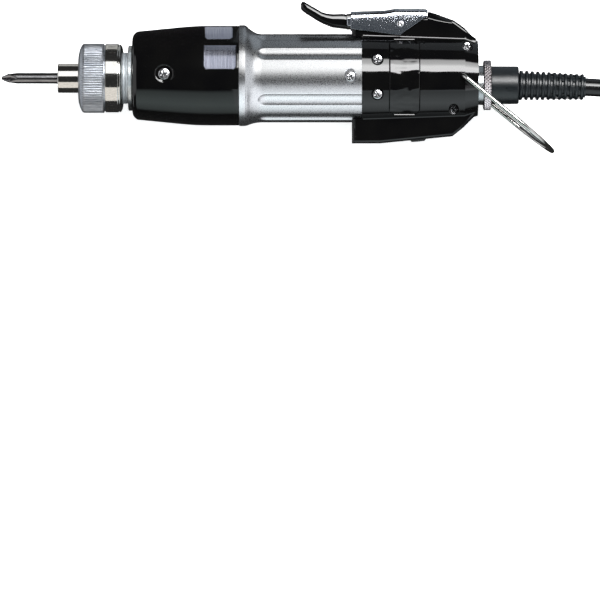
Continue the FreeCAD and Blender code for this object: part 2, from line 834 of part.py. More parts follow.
# Push pins carry the spring's force through the front wall to the ring gear.
pin_spots = []
for third in range(3):
    turn = "(%d)" % (120 * third + 60)
    reach = "pin_orbit_dia / 2 * "
    pin_spots.append((reach + "cos" + turn, reach + "sin" + turn))
keep("push_pins", group(*[rod("x", "pin_dia", "washer_back", "ring_front", spot) for spot in pin_spots]))

# Clutch housing: a steel nose with the nut's thread, the front bearing's seat and the gear cup.
clutch_blank = turned([
    ("thread_front", "spring_bore_dia / 2"),
    ("thread_front", "thread_dia / 2 - sleeve_bevel"),
    ("thread_front + sleeve_bevel", "thread_dia / 2"),
    ("shoulder", "thread_dia / 2"),
    ("shoulder", "clutch_dia / 2"),
    ("cup_end", "clutch_dia / 2"),
    ("cup_end", "clutch_bore_dia / 2"),
    ("cup_from", "clutch_bore_dia / 2"),
    ("cup_from", "bearing_dia / 2 + fit_gap"),
    ("bearing_front", "bearing_dia / 2 + fit_gap"),
    ("bearing_front", "spindle_dia / 2 + slide_gap"),
    ("spring_bore_end", "spindle_dia / 2 + slide_gap"),
    ("spring_bore_end", "spring_bore_dia / 2"),
])
pin_holes = [rod("x", "pin_dia + 2 * fit_gap", "washer_back", "ring_front", spot) for spot in pin_spots]
screw_z = "clutch_bore_dia / 2 + rest_gap"
nose_screw_x = "case_front + case_screw_from"
nose_holes = rod("z", "screw_dia + 2 * fit_gap", "-clutch_dia", "clutch_dia", (nose_screw_x, "case_rise"))
keep("clutch_housing", cut(clutch_blank, nose_holes, *pin_holes))
keep("front_ring", turned([
    ("case_front - front_ring_thick", "thread_dia / 2 + fit_gap"),
    ("case_front - front_ring_thick", "front_ring_dia / 2 - sleeve_bevel"),
    ("case_front - front_ring_thick + sleeve_bevel", "front_ring_dia / 2"),
    ("case_front", "front_ring_dia / 2"),
    ("case_front", "thread_dia / 2 + fit_gap"),
]))
keep("front_bearing", ring("spindle_tail_dia + 2 * fit_gap", "bearing_dia", "bearing_front", "bearing_back"))

# Gear stage: a fixed ring gear, a carrier on the spindle, three planets and the sun on the motor's shaft.
module = number("gear_module")
tip = module * number("tooth_tip")
root = module * number("tooth_root")
backlash = number("backlash")
sun_teeth = int(number("sun_teeth"))
planet_teeth = int(number("planet_teeth"))
ring_teeth = int(number("ring_teeth"))
ring_pitch = module * ring_teeth / 2
ring_cup = round_bar(number("can_dia"), number("ring_front"), number("ring_back"))
ring_hole = round_bar(number("bearing_dia"), number("ring_front"), number("ring_disc_back"))
ring_room = round_bar(2 * number("ring_root"), number("ring_disc_back"), number("planet_from"))
ring_space = toothed_bar(
    ring_teeth, ring_pitch - tip, ring_pitch + root, backlash / 2, number("planet_from"), number("ring_back")
)
ring_space.rotate(Vector(), Vector(1, 0, 0), 180 / ring_teeth)
keep("ring_gear", formed(ring_cup.cut(ring_hole).cut(ring_room).cut(ring_space)))

carrier_plate = ring("spindle_tail_dia + 2 * fit_gap", "carrier_dia", "carrier_front", "carrier_back")
planet_spots = []
for third in range(3):
    turn = "(%d)" % (120 * third)
    planet_spots.append(("planet_orbit * cos" + turn, "planet_orbit * sin" + turn))
carrier_pins = [rod("x", "planet_pin_dia", "carrier_front", "planet_back", spot) for spot in planet_spots]
keep("planet_carrier", joined(carrier_plate, *carrier_pins))

planet_pitch = module * planet_teeth / 2
for third in range(3):
    planet = toothed_bar(
        planet_teeth, planet_pitch - root, planet_pitch + tip, -backlash / 2,
        number("planet_from"), number("planet_back"),
    )
    planet_hole = round_bar(
        number("planet_pin_dia + 2 * fit_gap"), number("planet_from"), number("planet_back")
    )
    wheel = formed(planet.cut(planet_hole))
    spot = Vector(0, number(planet_spots[third][0]), number(planet_spots[third][1]))
    mesh_turn = 120 * third + 180 - 180 / planet_teeth
    wheel.Placement = Placement(spot, Rotation(Vector(1, 0, 0), mesh_turn))
    keep("planet_gear_%d" % (third + 1), wheel)

sun_pitch = module * sun_teeth / 2
sun = toothed_bar(
    sun_teeth, sun_pitch - root, sun_pitch + tip, -backlash / 2, number("planet_from"), number("ring_back")
)
sun_hole = round_bar(number("pinion_seat_dia + 2 * fit_gap"), number("planet_from"), number("ring_back"))
keep("sun_gear", formed(sun.cut(sun_hole)))

# Gear plate: closes the gear stage, carries the motor's front bush and the motor.
keep("gear_plate", turned([
    ("ring_back", "motor_shaft_dia / 2 + slide_gap"),
    ("ring_back", "can_dia / 2"),
    ("can_from", "can_dia / 2"),
    ("can_from", "bush_dia / 2 + fit_gap"),
    ("ring_back + bush_set_in", "bush_dia / 2 + fit_gap"),
    ("ring_back + bush_set_in", "motor_shaft_dia / 2 + slide_gap"),
]))
keep("front_bush", ring("motor_shaft_dia + 2 * fit_gap", "bush_dia", "ring_back + bush_set_in", "can_from"))

# Motor: can, two magnets, wound armature on the shaft, commutator, brush holder and brushes.
keep("motor_shaft", turned([
    ("planet_from", "0"),
    ("planet_from", "pinion_seat_dia / 2"),
    ("ring_back", "pinion_seat_dia / 2"),
    ("ring_back", "motor_shaft_dia / 2"),
    ("shaft_end", "motor_shaft_dia / 2"),
    ("shaft_end", "0"),
]))
keep("motor_can", turned([
    ("can_from", "bush_dia / 2"),
    ("can_from", "can_dia / 2"),
    ("can_end", "can_dia / 2"),
    ("can_end", "can_dia / 2 - can_wall"),
    ("can_from + can_face", "can_dia / 2 - can_wall"),
    ("can_from + can_face", "bush_dia / 2"),
]))
magnets = []
for side in (90, 270):
    magnet = turned([
        ("armature_from", "armature_dia / 2 + air_gap"),
        ("armature_from", "armature_dia / 2 + air_gap + magnet_thick"),
        ("armature_end", "armature_dia / 2 + air_gap + magnet_thick"),
        ("armature_end", "armature_dia / 2 + air_gap"),
    ], sweep="magnet_angle")
    spread = Rotation(Vector(1, 0, 0), side - number("magnet_angle") / 2)
    magnet.Placement = Placement(Vector(), spread)
    magnets.append(magnet)
keep("motor_magnets", group(*magnets))
core_blank = ring("motor_shaft_dia + 2 * fit_gap", "armature_dia", "armature_from", "armature_end")
slots = []
slot_count = int(number("armature_slots"))
for index in range(slot_count):
    slot = slab([
        ("armature_from", "armature_dia / 2 - armature_slot_deep"),
        ("armature_end", "armature_dia / 2 - armature_slot_deep"),
        ("armature_end", "armature_dia"),
        ("armature_from", "armature_dia"),
    ], "armature_slot_wide / 2")
    slot.Placement = Placement(Vector(), Rotation(Vector(1, 0, 0), 360 / slot_count * index))
    slots.append(slot)
keep("armature_core", cut(core_blank, *slots))
keep("armature_winding", group(
    ring("winding_hole_dia", "winding_dia", "armature_from - winding_long", "armature_from"),
    ring("winding_hole_dia", "winding_dia", "armature_end", "armature_end + winding_long / 2"),
))
keep("commutator", ring(
    "motor_shaft_dia + 2 * fit_gap", "commutator_dia",
    "brush_middle - commutator_long / 2", "brush_middle + commutator_long / 2",
))
holder_flange_dia = "housing_front_dia - 2 * housing_wall - 2 * housing_slope * (holder_set_in + holder_flange_long)"
holder_rear_dia = "housing_front_dia - 2 * housing_wall - 2 * housing_slope * (holder_set_in + holder_long)"
holder_blank = turned([
    ("can_end", "can_dia / 2 - can_wall - holder_wall / 2"),
    ("can_end", "(%s) / 2 - slide_gap" % holder_flange_dia),
    ("holder_flange_back", "(%s) / 2 - slide_gap" % holder_flange_dia),
    ("holder_flange_back", "(%s) / 2 - rest_gap" % holder_rear_dia),
    ("shaft_end", "(%s) / 2 - 2 * rest_gap" % holder_rear_dia),
    ("shaft_end", "bush_dia / 2 + fit_gap"),
    ("holder_end", "bush_dia / 2 + fit_gap"),
    ("holder_end", "holder_bore_dia / 2"),
    ("holder_flange_back", "holder_bore_dia / 2"),
    ("holder_flange_back", "can_dia / 2 - can_wall - holder_wall / 2"),
])
brush_guide = block(
    ("brush_middle - brush_long / 2 - slide_gap", "brush_middle + brush_long / 2 + slide_gap"),
    ("-brush_wide / 2 - slide_gap", "brush_wide / 2 + slide_gap"),
    ("-housing_front_dia", "housing_front_dia"),
)
holder_screw_x = "can_end + holder_screw_from"
holder_screw_seat = "sqrt((hollow_front)^2 - holder_screw_high^2) + rest_gap * 2"
holder_screw_holes = [
    rod("z", "screw_dia + 2 * fit_gap", "-housing_front_dia", "housing_front_dia", (holder_screw_x, side))
    for side in ("holder_screw_high", "-holder_screw_high")
]
keep("brush_holder", cut(holder_blank, brush_guide, *holder_screw_holes))
brushes = []
for low, high in (
    ("commutator_dia / 2 + fit_gap", "commutator_dia / 2 + fit_gap + brush_tall"),
    ("-commutator_dia / 2 - fit_gap - brush_tall", "-commutator_dia / 2 - fit_gap"),
):
    brushes.append(block(
        ("brush_middle - brush_long / 2", "brush_middle + brush_long / 2"),
        ("-brush_wide / 2", "brush_wide / 2"),
        (low, high),
    ))
keep("carbon_brushes", group(*brushes))
keep("rear_bush", ring("motor_shaft_dia + 2 * fit_gap", "bush_dia", "holder_end", "shaft_end"))

# Nose case: a moulded shell whose outside is set above the spindle's axis. Its bore is on the axis.
case_outside = turned([
    ("case_front", "0"),
    ("case_front", "case_mouth_dia / 2", "-(case_wall^2 + (case_front_step)^2) / 2 / case_wall"),
    ("case_front + case_wall", "case_front_dia / 2"),
    ("case_front + case_wall + case_taper_long", "case_dia / 2"),
    ("case_back", "case_dia / 2"),
    ("case_back", "0"),
], rise="case_rise")
case_bore = rod("x", "clutch_dia + 2 * slide_gap", "shoulder - slide_gap", "case_back")
case_mouth = rod("x", "thread_dia + 2 * slide_gap", "case_front", "shoulder")
case_screw_z = screw_z + " + screw_long"
case_recesses = [
    rod("z", "case_recess_dia", low, high, (nose_screw_x, "case_rise"))
    for low, high in ((case_screw_z, "case_dia"), ("-case_dia", "-(%s)" % case_screw_z))
]
case_screw_hole = rod("z", "screw_dia + 2 * fit_gap", "-case_dia", "case_dia", (nose_screw_x, "case_rise"))
keep("nose_case", cut(case_outside, case_bore, case_mouth, case_screw_hole, *case_recesses))

# Grip tube: turned aluminium with a flange and a flare in front, eight milled flutes and a counterbore.
grip_blank = turned([
    ("case_back", "grip_bore_dia / 2"),
    ("case_back", "grip_dia / 2"),
    ("housing_front", "grip_dia / 2"),
    ("housing_front", "spigot_dia / 2 + slide_gap"),
    ("housing_front - spigot_long", "spigot_dia / 2 + slide_gap"),
    ("housing_front - spigot_long", "grip_bore_dia / 2"),
])
flare_drop = "flange_dia / 2 - grip_dia / 2 + case_rise"
flare_radius = "((flare_long)^2 + (%s)^2) / 2 / (%s)" % (flare_drop, flare_drop)
grip_flare = turned([
    ("case_back", "grip_bore_dia / 2 + case_rise"),
    ("case_back", "flange_dia / 2"),
    ("case_back + flange_long", "flange_dia / 2", flare_radius),
    ("case_back + flange_long + flare_long", "grip_dia / 2 - case_rise"),
    ("case_back + flange_long + flare_long", "grip_bore_dia / 2 + case_rise"),
], rise="case_rise")
flutes = []
for side in ("flute_orbit", "-flute_orbit"):
    for lean in ("flute_angle_low", "-flute_angle_low", "flute_angle_high", "-flute_angle_high"):
        flute = turned([
            ("flute_nose - flute_radius", "0", "-flute_radius"),
            ("flute_nose", "flute_radius"),
            ("housing_front + 1", "flute_radius"),
            ("housing_front + 1", "0"),
        ])
        flutes.append(place(flute, y="%s * sin(%s)" % (side, lean), z="%s * cos(%s)" % (side, lean)))
grip_screw_x = "housing_front - grip_screw_from_end"
grip_screw_z = screw_z + " + screw_long"
grip_recesses = [
    rounded_block(
        (grip_screw_x + " - grip_recess_long / 2", grip_screw_x + " + grip_recess_long / 2"),
        ("-grip_recess_wide / 2", "grip_recess_wide / 2"),
        (low, high),
        "grip_recess_long / 2 - fit_gap",
    )
    for low, high in ((grip_screw_z, "grip_dia"), ("-grip_dia", "-(%s)" % grip_screw_z))
]
grip_screw_hole = rod("z", "screw_dia + 2 * fit_gap", "-grip_dia", "grip_dia", (grip_screw_x, "0"))
grip_turning = joined(grip_blank, grip_flare)
keep("grip_tube", cut(grip_turning, grip_screw_hole, *grip_recesses, *flutes))

# Rear housing: a barrel with an upper rail for the lever and a lower rail for the direction switch,
# moulded as two halves that meet on the middle plane.
def softened(rail, half):
    """A rail whose outer edges, along both of its flat sides, are rounded."""
    doc.recompute()
    side = number(half)
    size = number("rail_round")
    rounding = doc.addObject("Part::Fillet", "rounding")
    rounding.Base = rail
    rounding.Edges = [
        (index, size, size)
        for index, edge in enumerate(rail.Shape.Edges, 1)
        if all(abs(abs(end.Point.z) - side) < 1e-6 for end in edge.Vertexes)
        and edge.Vertexes[0].Point.z * edge.Vertexes[-1].Point.z > 0
        and any(abs(end.Point.y) > 1e-6 for end in edge.Vertexes)
    ]
    return rounding


barrel = turned([
    ("housing_front", "0"),
    ("housing_front", "housing_front_dia / 2"),
    ("housing_back - housing_bevel", "housing_rear_dia / 2 + housing_slope * housing_bevel"),
    ("housing_back", "housing_rear_dia / 2 - housing_bevel"),
    ("housing_back", "0"),
])
upper_rail = softened(slab([
    ("rail_front", "0"),
    ("housing_back", "0"),
    ("housing_back", "upper_end_high"),
    ("upper_knee", "upper_knee_high"),
    ("upper_step", "upper_step_high"),
    ("upper_step", "upper_rail_high"),
    ("rail_front", "upper_rail_high"),
], "rail_half"), "rail_half")
lower_rail = softened(slab([
    ("rail_front", "0"),
    ("rail_front", "-lower_rail_deep"),
    ("lower_flat_end", "-lower_rail_deep"),
    ("lower_knee", "-lower_knee_deep"),
    ("housing_back", "-lower_end_deep"),
    ("housing_back", "0"),
], "rail_half"), "rail_half")
barrel_hollow = taper("2 * hollow_front", "2 * hollow_rear", "housing_front", "hollow_end")
upper_hollow = slab([
    ("rail_front + rail_wall", "0"),
    ("hollow_end", "0"),
    ("hollow_end", "upper_end_high - rail_wall / 2"),
    ("upper_knee", "upper_knee_high - 1.4 * rail_wall"),
    ("upper_step", "upper_rail_high - rail_wall"),
    ("rail_front + rail_wall", "upper_rail_high - rail_wall"),
], "rail_half - rail_wall")
lower_hollow = slab([
    ("rail_front + rail_wall", "0"),
    ("rail_front + rail_wall", "rail_wall - lower_rail_deep"),
    ("lower_flat_end", "rail_wall - lower_rail_deep"),
    ("lower_knee", "rail_wall - lower_knee_deep"),
    ("hollow_end", "rail_wall / 2 - lower_end_deep"),
    ("hollow_end", "0"),
], "rail_half - rail_wall")
grip_room = rod("x", "grip_dia + 2 * slide_gap", "rail_front - 1", "housing_front")
outside = joined(barrel, upper_rail, lower_rail)
shell = cut(outside, barrel_hollow, upper_hollow, lower_hollow, grip_room)
spigot = turned([
    ("housing_front - spigot_long + rest_gap", "can_dia / 2 + rest_gap"),
    ("housing_front - spigot_long + rest_gap", "spigot_dia / 2"),
    ("housing_front", "spigot_dia / 2"),
    ("housing_front", "hollow_front + fit_gap"),
    ("housing_front + rail_wall", "hollow_front + fit_gap"),
    ("housing_front + rail_wall", "can_dia / 2 + rest_gap"),
])
rear_screw = ("housing_back - rear_screw_from_end", "rear_screw_high")
low_screw = ("housing_back - low_screw_from_end", "-low_screw_deep")
bosses = [
    shared(rod("z", "boss_dia", "-housing_front_dia", "housing_front_dia", spot), outside)
    for spot in (rear_screw, low_screw)
]
moulded = joined(shell, spigot, *bosses)

lever_pin_spot = ("lever_pin_x", "lever_pin_high")
openings = [
    rod("z", "lever_pin_dia + 2 * fit_gap", "-2 * rail_half", "2 * rail_half", lever_pin_spot),
    rod("y", "plunger_dia + 4 * fit_gap", "switch_top", "upper_rail_high + 1", ("plunger_x", "0")),
    rod("z", "bail_wire + 4 * fit_gap", "-housing_front_dia", "housing_front_dia", ("bail_x", "bail_high")),
    rod("x", "socket_dia + 2 * fit_gap", "hollow_end - 1", "housing_back + 1", ("-socket_drop", "0")),
    rod("z", "screw_dia + 2 * fit_gap", "-spigot_dia", "spigot_dia", (grip_screw_x, "0")),
]
for low, high in (("cover_from", "housing_front_dia"), ("-housing_front_dia", "-cover_from")):
    openings.append(rounded_block(
        ("brush_middle - cover_long / 2", "brush_middle + cover_long / 2"),
        ("-cover_half_high", "cover_half_high"),
        (low, high),
        "cover_corner",
    ))
    openings.append(block(
        ("brush_middle - pry_slit_long / 2", "brush_middle + pry_slit_long / 2"),
        ("-cover_half_high - pry_slit_high", "cover_half_high + pry_slit_high"),
        (low, high),
    ))
    for side in ("holder_screw_high", "-holder_screw_high"):
        seat = (holder_screw_seat, "housing_front_dia")
        if low.startswith("-"):
            seat = ("-housing_front_dia", "-(%s)" % holder_screw_seat)
        openings.append(rod("z", "screw_head_dia + 10 * slide_gap", *seat, (holder_screw_x, side)))
for side in ("holder_screw_high", "-holder_screw_high"):
    openings.append(rod(
        "z", "screw_dia + 2 * fit_gap", "-housing_front_dia", "housing_front_dia", (holder_screw_x, side)
    ))
for spot in (rear_screw, low_screw):
    openings.append(rod("z", "screw_dia + 2 * fit_gap", "long_screw_seat - long_screw_long - 1",
                        "housing_front_dia", spot))
    openings.append(rod("z", "screw_head_dia + 4 * fit_gap", "long_screw_seat", "housing_front_dia", spot))

lower_rise = number("lower_rail_deep - lower_knee_deep")
lower_lean = math.degrees(math.atan2(lower_rise, number("lower_knee - lower_flat_end")))
knob_y = (
    "(knob_x - lower_flat_end) / (lower_knee - lower_flat_end) * (lower_rail_deep - lower_knee_deep)"
    " - lower_rail_deep"
)


def on_lower_rail(thing):
    """Set a piece that is drawn about the knob's middle on the slanted lower rail."""
    thing.Placement = Placement(Vector(), Rotation(Vector(0, 0, 1), lower_lean))
    return place(thing, "knob_x", knob_y)


def local_slab(half_long, low, high, half):
    """A block along the lower rail, about the knob's middle."""
    return on_lower_rail(slab([
        ("-(%s)" % half_long, low),
        (half_long, low),
        (half_long, high),
        ("-(%s)" % half_long, high),
    ], half))


openings.append(local_slab(
    "knob_long / 2 + knob_travel + slide_gap", "-2 * rail_wall", "2 * rail_wall", "knob_half + slide_gap"
))
housing = cut(moulded, *openings)
wide = "2 * housing_front_dia"
right_half = block(("0", "housing_back + " + wide), ("-" + wide, wide), ("0", wide))
left_half = block(("0", "housing_back + " + wide), ("-" + wide, wide), ("-" + wide, "0"))
keep("rear_housing_right", shared(housing, right_half))
keep("rear_housing_left", shared(housing, left_half))

# Brush covers: curved panels let into the sides, flush with the barrel.
wall_ring = cut(
    taper("housing_front_dia", "housing_rear_dia", "housing_front", "housing_back"),
    taper("2 * hollow_front", "2 * hollow_rear", "housing_front", "hollow_end"),
)
for label, low, high in (
    ("brush_cover_right", "cover_from + slide_gap", "housing_front_dia"),
    ("brush_cover_left", "-housing_front_dia", "-cover_from - slide_gap"),
):
    panel = rounded_block(
        ("brush_middle - cover_long / 2 + slide_gap", "brush_middle + cover_long / 2 - slide_gap"),
        ("slide_gap - cover_half_high", "cover_half_high - slide_gap"),
        (low, high),
        "cover_corner - slide_gap",
    )
    keep(label, shared(wall_ring, panel))


# Screws: eight short ones of one kind, and two long ones that draw the housing halves together.
def screw(spot, seat, shank, side):
    """A pan head screw along Z that enters from one side."""
    spans = ((seat, seat + " + screw_head_high"), ("(%s) - (%s)" % (seat, shank), seat))
    dias = ("screw_head_dia", "screw_dia")
    bars = []
    for dia, (low, high) in zip(dias, spans):
        if side < 0:
            low, high = "-(%s)" % high, "-(%s)" % low
        bars.append(rod("z", dia, low, high, spot))
    return joined(*bars)


short_screws = []
for side in (1, -1):
    short_screws.append(screw((nose_screw_x, "case_rise"), case_screw_z, "screw_long", side))
    short_screws.append(screw((grip_screw_x, "0"), grip_screw_z, "screw_long", side))
    for high in ("holder_screw_high", "-holder_screw_high"):
        short_screws.append(screw((holder_screw_x, high), holder_screw_seat, "screw_long", side))
keep("short_screws", group(*short_screws))
keep("case_screws", group(*[
    screw(spot, "long_screw_seat", "long_screw_long", 1) for spot in (rear_screw, low_screw)
]))

# Start lever: a folded steel channel over the upper rail, on a riveted pin, with a moulded finger piece.
web_outside = [
    ("lever_front", "lever_front_top"),
    ("lever_front + lever_pin_from - 1.5", "lever_front_top"),
    ("lever_pin_x - 1.5", "lever_top"),
    ("lever_back - 3", "lever_top"),
    ("lever_back", "lever_back_top"),
]
lever_outside = slab(list(reversed(web_outside)) + [
    ("lever_front", "lever_front_low"),
    ("lever_pin_x + 1", "lever_cheek_low"),
    ("lever_back", "lever_back_low"),
], "lever_inner_half + lever_sheet")
lever_inside = slab([
    ("lever_front - 1", "0"),
    ("lever_back + 1", "0"),
    ("lever_back + 1", "lever_back_top - lever_sheet"),
    ("lever_back - 3", "lever_top - lever_sheet"),
    ("lever_pin_x - 1.5", "lever_top - lever_sheet"),
    ("lever_front + lever_pin_from - 1.5", "lever_front_top - lever_sheet"),
    ("lever_front - 1", "lever_front_top - lever_sheet"),
], "lever_inner_half")
cheek_hole = rod("z", "lever_pin_dia + 2 * fit_gap", "-2 * rail_half", "2 * rail_half", lever_pin_spot)
keep("start_lever", cut(lever_outside, lever_inside, cheek_hole))
cheek_face = "(lever_inner_half + lever_sheet + slide_gap)"
keep("lever_pin", joined(
    rod("z", "lever_pin_dia", "-" + cheek_face, cheek_face, lever_pin_spot),
    rod("z", "rivet_dia", cheek_face, cheek_face + " + rivet_high", lever_pin_spot),
    rod("z", "rivet_dia", "-%s - rivet_high" % cheek_face, "-" + cheek_face, lever_pin_spot),
))
finger_grip = slab([
    ("lever_front", "lever_front_top - 2.5"),
    ("lever_front - 2.8", "lever_front_top - 1.35"),
    ("lever_front - 8.8", "lever_front_top - 1.35", "-14"),
    ("lever_front - 12.5", "lever_front_top - 0.6"),
    ("lever_front + 1.1 - finger_reach", "lever_front_top + 4.6", "1.4"),
    ("lever_front - finger_reach", "lever_front_top + 3.6"),
    ("lever_front - finger_reach", "lever_front_top + 1.2"),
    ("lever_front + 1.6 - finger_reach", "lever_front_top - 0.2"),
    ("lever_front - 13.4", "lever_front_top - 4.8"),
    ("lever_front - 7.9", "lever_front_top - 7.1"),
    ("lever_front", "lever_front_top - 8"),
], "finger_half")
finger_root = block(
    ("lever_front - lever_sheet", "lever_front + finger_set_in"),
    ("lever_front_top - 8", "lever_front_top - lever_sheet"),
    ("-lever_inner_half", "lever_inner_half"),
)
keep("finger_piece", joined(finger_grip, finger_root))
plunger_top = "lever_front_top - lever_sheet - 2 * slide_gap"
keep("switch_plunger", rod("y", "plunger_dia", "switch_top - plunger_deep", plunger_top, ("plunger_x", "0")))
switch_blank = block(
    ("housing_front + rest_gap", "housing_front + rest_gap + switch_long"),
    ("switch_top - switch_high", "switch_top"),
    ("-switch_half", "switch_half"),
)
plunger_well = rod(
    "y", "plunger_dia + 4 * fit_gap", "switch_top - plunger_well", "switch_top + 1", ("plunger_x", "0")
)
keep("start_switch", cut(switch_blank, plunger_well))

# Direction switch: a ridged knob in a slot of the lower rail, on a slide switch inside.
knob_blank = local_slab("knob_long / 2", "-knob_stand_out", "knob_stem", "knob_half")
ridges = []
for step in ("-knob_long / 4", "0", "knob_long / 4"):
    half = "knob_long / 20"
    ridges.append(on_lower_rail(slab([
        ("%s - %s" % (step, half), "-2 * knob_stand_out"),
        ("%s + %s" % (step, half), "-2 * knob_stand_out"),
        ("%s + %s" % (step, half), "-knob_stand_out / 2"),
        ("%s - %s" % (step, half), "-knob_stand_out / 2"),
    ], "2 * knob_half")))
keep("direction_knob", cut(knob_blank, *ridges))
keep("direction_switch", local_slab(
    "reverser_long / 2", "knob_stem + rest_gap", "knob_stem + rest_gap + reverser_high",
    "rail_half - rail_wall - rest_gap",
))

# Circuit board in the back of the housing.
keep("circuit_board", block(
    ("shaft_end + board_gap", "hollow_end - board_from_end"),
    ("board_high", "board_high + board_thick"),
    ("-board_half", "board_half"),
))

# Cord socket in the end wall, and the cord's own coupling ring, boot and ribbed strain relief.
keep("cord_socket", turned([
    ("housing_back - socket_long", "0"),
    ("housing_back - socket_long", "socket_dia / 2"),
    ("housing_back", "socket_dia / 2"),
    ("housing_back", "stub_dia / 2"),
    ("stub_back", "stub_dia / 2"),
    ("stub_back", "0"),
], rise="-socket_drop"))
keep("coupling_ring", turned([
    ("stub_back + slide_gap", "neck_dia / 2 + fit_gap"),
    ("stub_back + slide_gap", "coupling_dia / 2 - sleeve_bevel"),
    ("stub_back + slide_gap + sleeve_bevel", "coupling_dia / 2"),
    ("coupling_back - slide_gap - sleeve_bevel", "coupling_dia / 2"),
    ("coupling_back - slide_gap", "coupling_dia / 2 - sleeve_bevel"),
    ("coupling_back - slide_gap", "neck_dia / 2 + fit_gap"),
], rise="-socket_drop"))
keep("plug_boot", turned([
    ("stub_back", "0"),
    ("stub_back", "neck_dia / 2"),
    ("coupling_back", "neck_dia / 2"),
    ("coupling_back", "boot_dia / 2"),
    ("boot_back - 2 * sleeve_bevel", "boot_dia / 2"),
    ("boot_back", "boot_dia / 2 - 2 * sleeve_bevel"),
    ("boot_back", "0"),
], rise="-socket_drop"))

# The strain relief's ribs: each has a valley, a rise, a crest and a fall, all on one axis.
rib_count = int(number("rib_count"))
relief_long = number("relief_long")
rib_step = relief_long / rib_count
rings = []
for index in range(rib_count):
    part = index / (rib_count - 1)
    crest = number("rib_front_dia") / 2 + part * number("(rib_rear_dia - rib_front_dia) / 2")
    valley = crest - number("rib_valley")
    for share, radius in ((0.0, crest), (0.5, crest), (0.56, valley), (0.94, valley)):
        if index == rib_count - 1 and share > 0.9:
            share = 1.0
        centre = Vector((index + share) * rib_step, 0, 0)
        rings.append(Part.Wire(Part.Circle(centre, Vector(1, 0, 0), radius).toShape()))
relief = formed(Part.makeLoft(rings, True, True))
droop = Rotation(Vector(0, 0, 1), -number("relief_droop"))
relief_start = Vector(
    number("boot_back") + number("rib_front_dia / 2") * math.sin(math.radians(number("relief_droop"))),
    -number("socket_drop"),
    0,
)
relief.Placement = Placement(relief_start, droop)
keep("strain_relief", relief)

# Hanging bail: one bent wire whose ends hook into the housing's sides.
half = number("bail_half")
leg = number("bail_leg")
bend = number("bail_bend")
hook_end = half - number("bail_hook")
corner = bend * (1 - math.sqrt(0.5))
bail_line = [
    Part.LineSegment(Vector(0, 0, hook_end), Vector(0, 0, half - bend)).toShape(),
    Part.Arc(
        Vector(0, 0, half - bend), Vector(corner, 0, half - corner), Vector(bend, 0, half)
    ).toShape(),
    Part.LineSegment(Vector(bend, 0, half), Vector(leg, 0, half)).toShape(),
    Part.Arc(Vector(leg, 0, half), Vector(leg + half, 0, 0), Vector(leg, 0, -half)).toShape(),
    Part.LineSegment(Vector(leg, 0, -half), Vector(bend, 0, -half)).toShape(),
    Part.Arc(
        Vector(bend, 0, -half), Vector(corner, 0, corner - half), Vector(0, 0, bend - half)
    ).toShape(),
    Part.LineSegment(Vector(0, 0, bend - half), Vector(0, 0, -hook_end)).toShape(),
]
bail_shape, bail_path = swept(bail_line, number("bail_wire"), 0, Vector(0, 0, hook_end), Vector(0, 0, 1))
bail = formed(bail_shape)
swing = Rotation(Vector(0, 0, 1), -number("bail_angle"))
bail.Placement = Placement(Vector(number("bail_x"), number("bail_high"), 0), swing)
keep("bail", bail)

# Cord: it leaves the strain relief and bends down and aside to the top of its coil. The points are from
# the relief's end; the first run is in line with the relief.
LEAD = [
    (0, 0, 0),
    (10.0, -0.3, 0),
    (19.73, -2.62, 0.7),
    (28.79, -6.83, 2.0),
    (36.81, -12.81, 3.5),
    (43.46, -20.27, 4.9),
    (48.46, -28.93, 5.7),
]
# The tail, from the end of the coil to the far plug.
TAIL = [(0, 0, 0), (-9.5, -0.83, 0), (-18.7, -3.3, 0.5), (-28.0, -5.0, 1.2), (-37.2, -5.8, 1.6)]
cord_dia = number("cord_dia")
cord_area = math.pi * cord_dia**2 / 4


def corner_radii(points):
    """The largest arc that each corner of a route has room for."""
    radii = []
    for before, spot, after in zip(points, points[1:], points[2:]):
        turn = (spot - before).getAngle(after - spot)
        shorter = min((spot - before).Length, (after - spot).Length)
        radii.append(0.45 * shorter / math.tan(turn / 2))
    return radii


def cord_tube(points, name):
    """A cord of straight runs and tangent arcs along a route."""
    radii = corner_radii(points)
    edges = []
    start = points[0]
    for before, spot, after, radius in zip(points, points[1:], points[2:], radii):
        inward = (before - spot).normalize()
        onward = (after - spot).normalize()
        turn = (spot - before).getAngle(after - spot)
        reach = radius * math.tan(turn / 2)
        first = spot + inward * reach
        last = spot + onward * reach
        edges.append(Part.LineSegment(start, first).toShape())
        edges.append(arc_between(first, inward * -1, last))
        start = last
    edges.append(Part.LineSegment(start, points[-1]).toShape())
    tube, path = swept(edges, cord_dia, 0, points[0], points[1] - points[0])
    print(name, "radii", [round(radius, 1) for radius in radii])
    print(name, "volume", round(tube.Volume, 1), "section by length", round(cord_area * path.Length, 1))
    return tube, path.Length


relief_axis = droop.multVec(Vector(1, 0, 0))
lead_start = relief_start + relief_axis * relief_long
lead_points = [lead_start + Vector(*offset) for offset in LEAD]
lead_points[1] = lead_start + relief_axis * Vector(*LEAD[1]).Length
lead_tube, lead_length = cord_tube(lead_points, "power_cord")
keep("power_cord", formed(lead_tube))

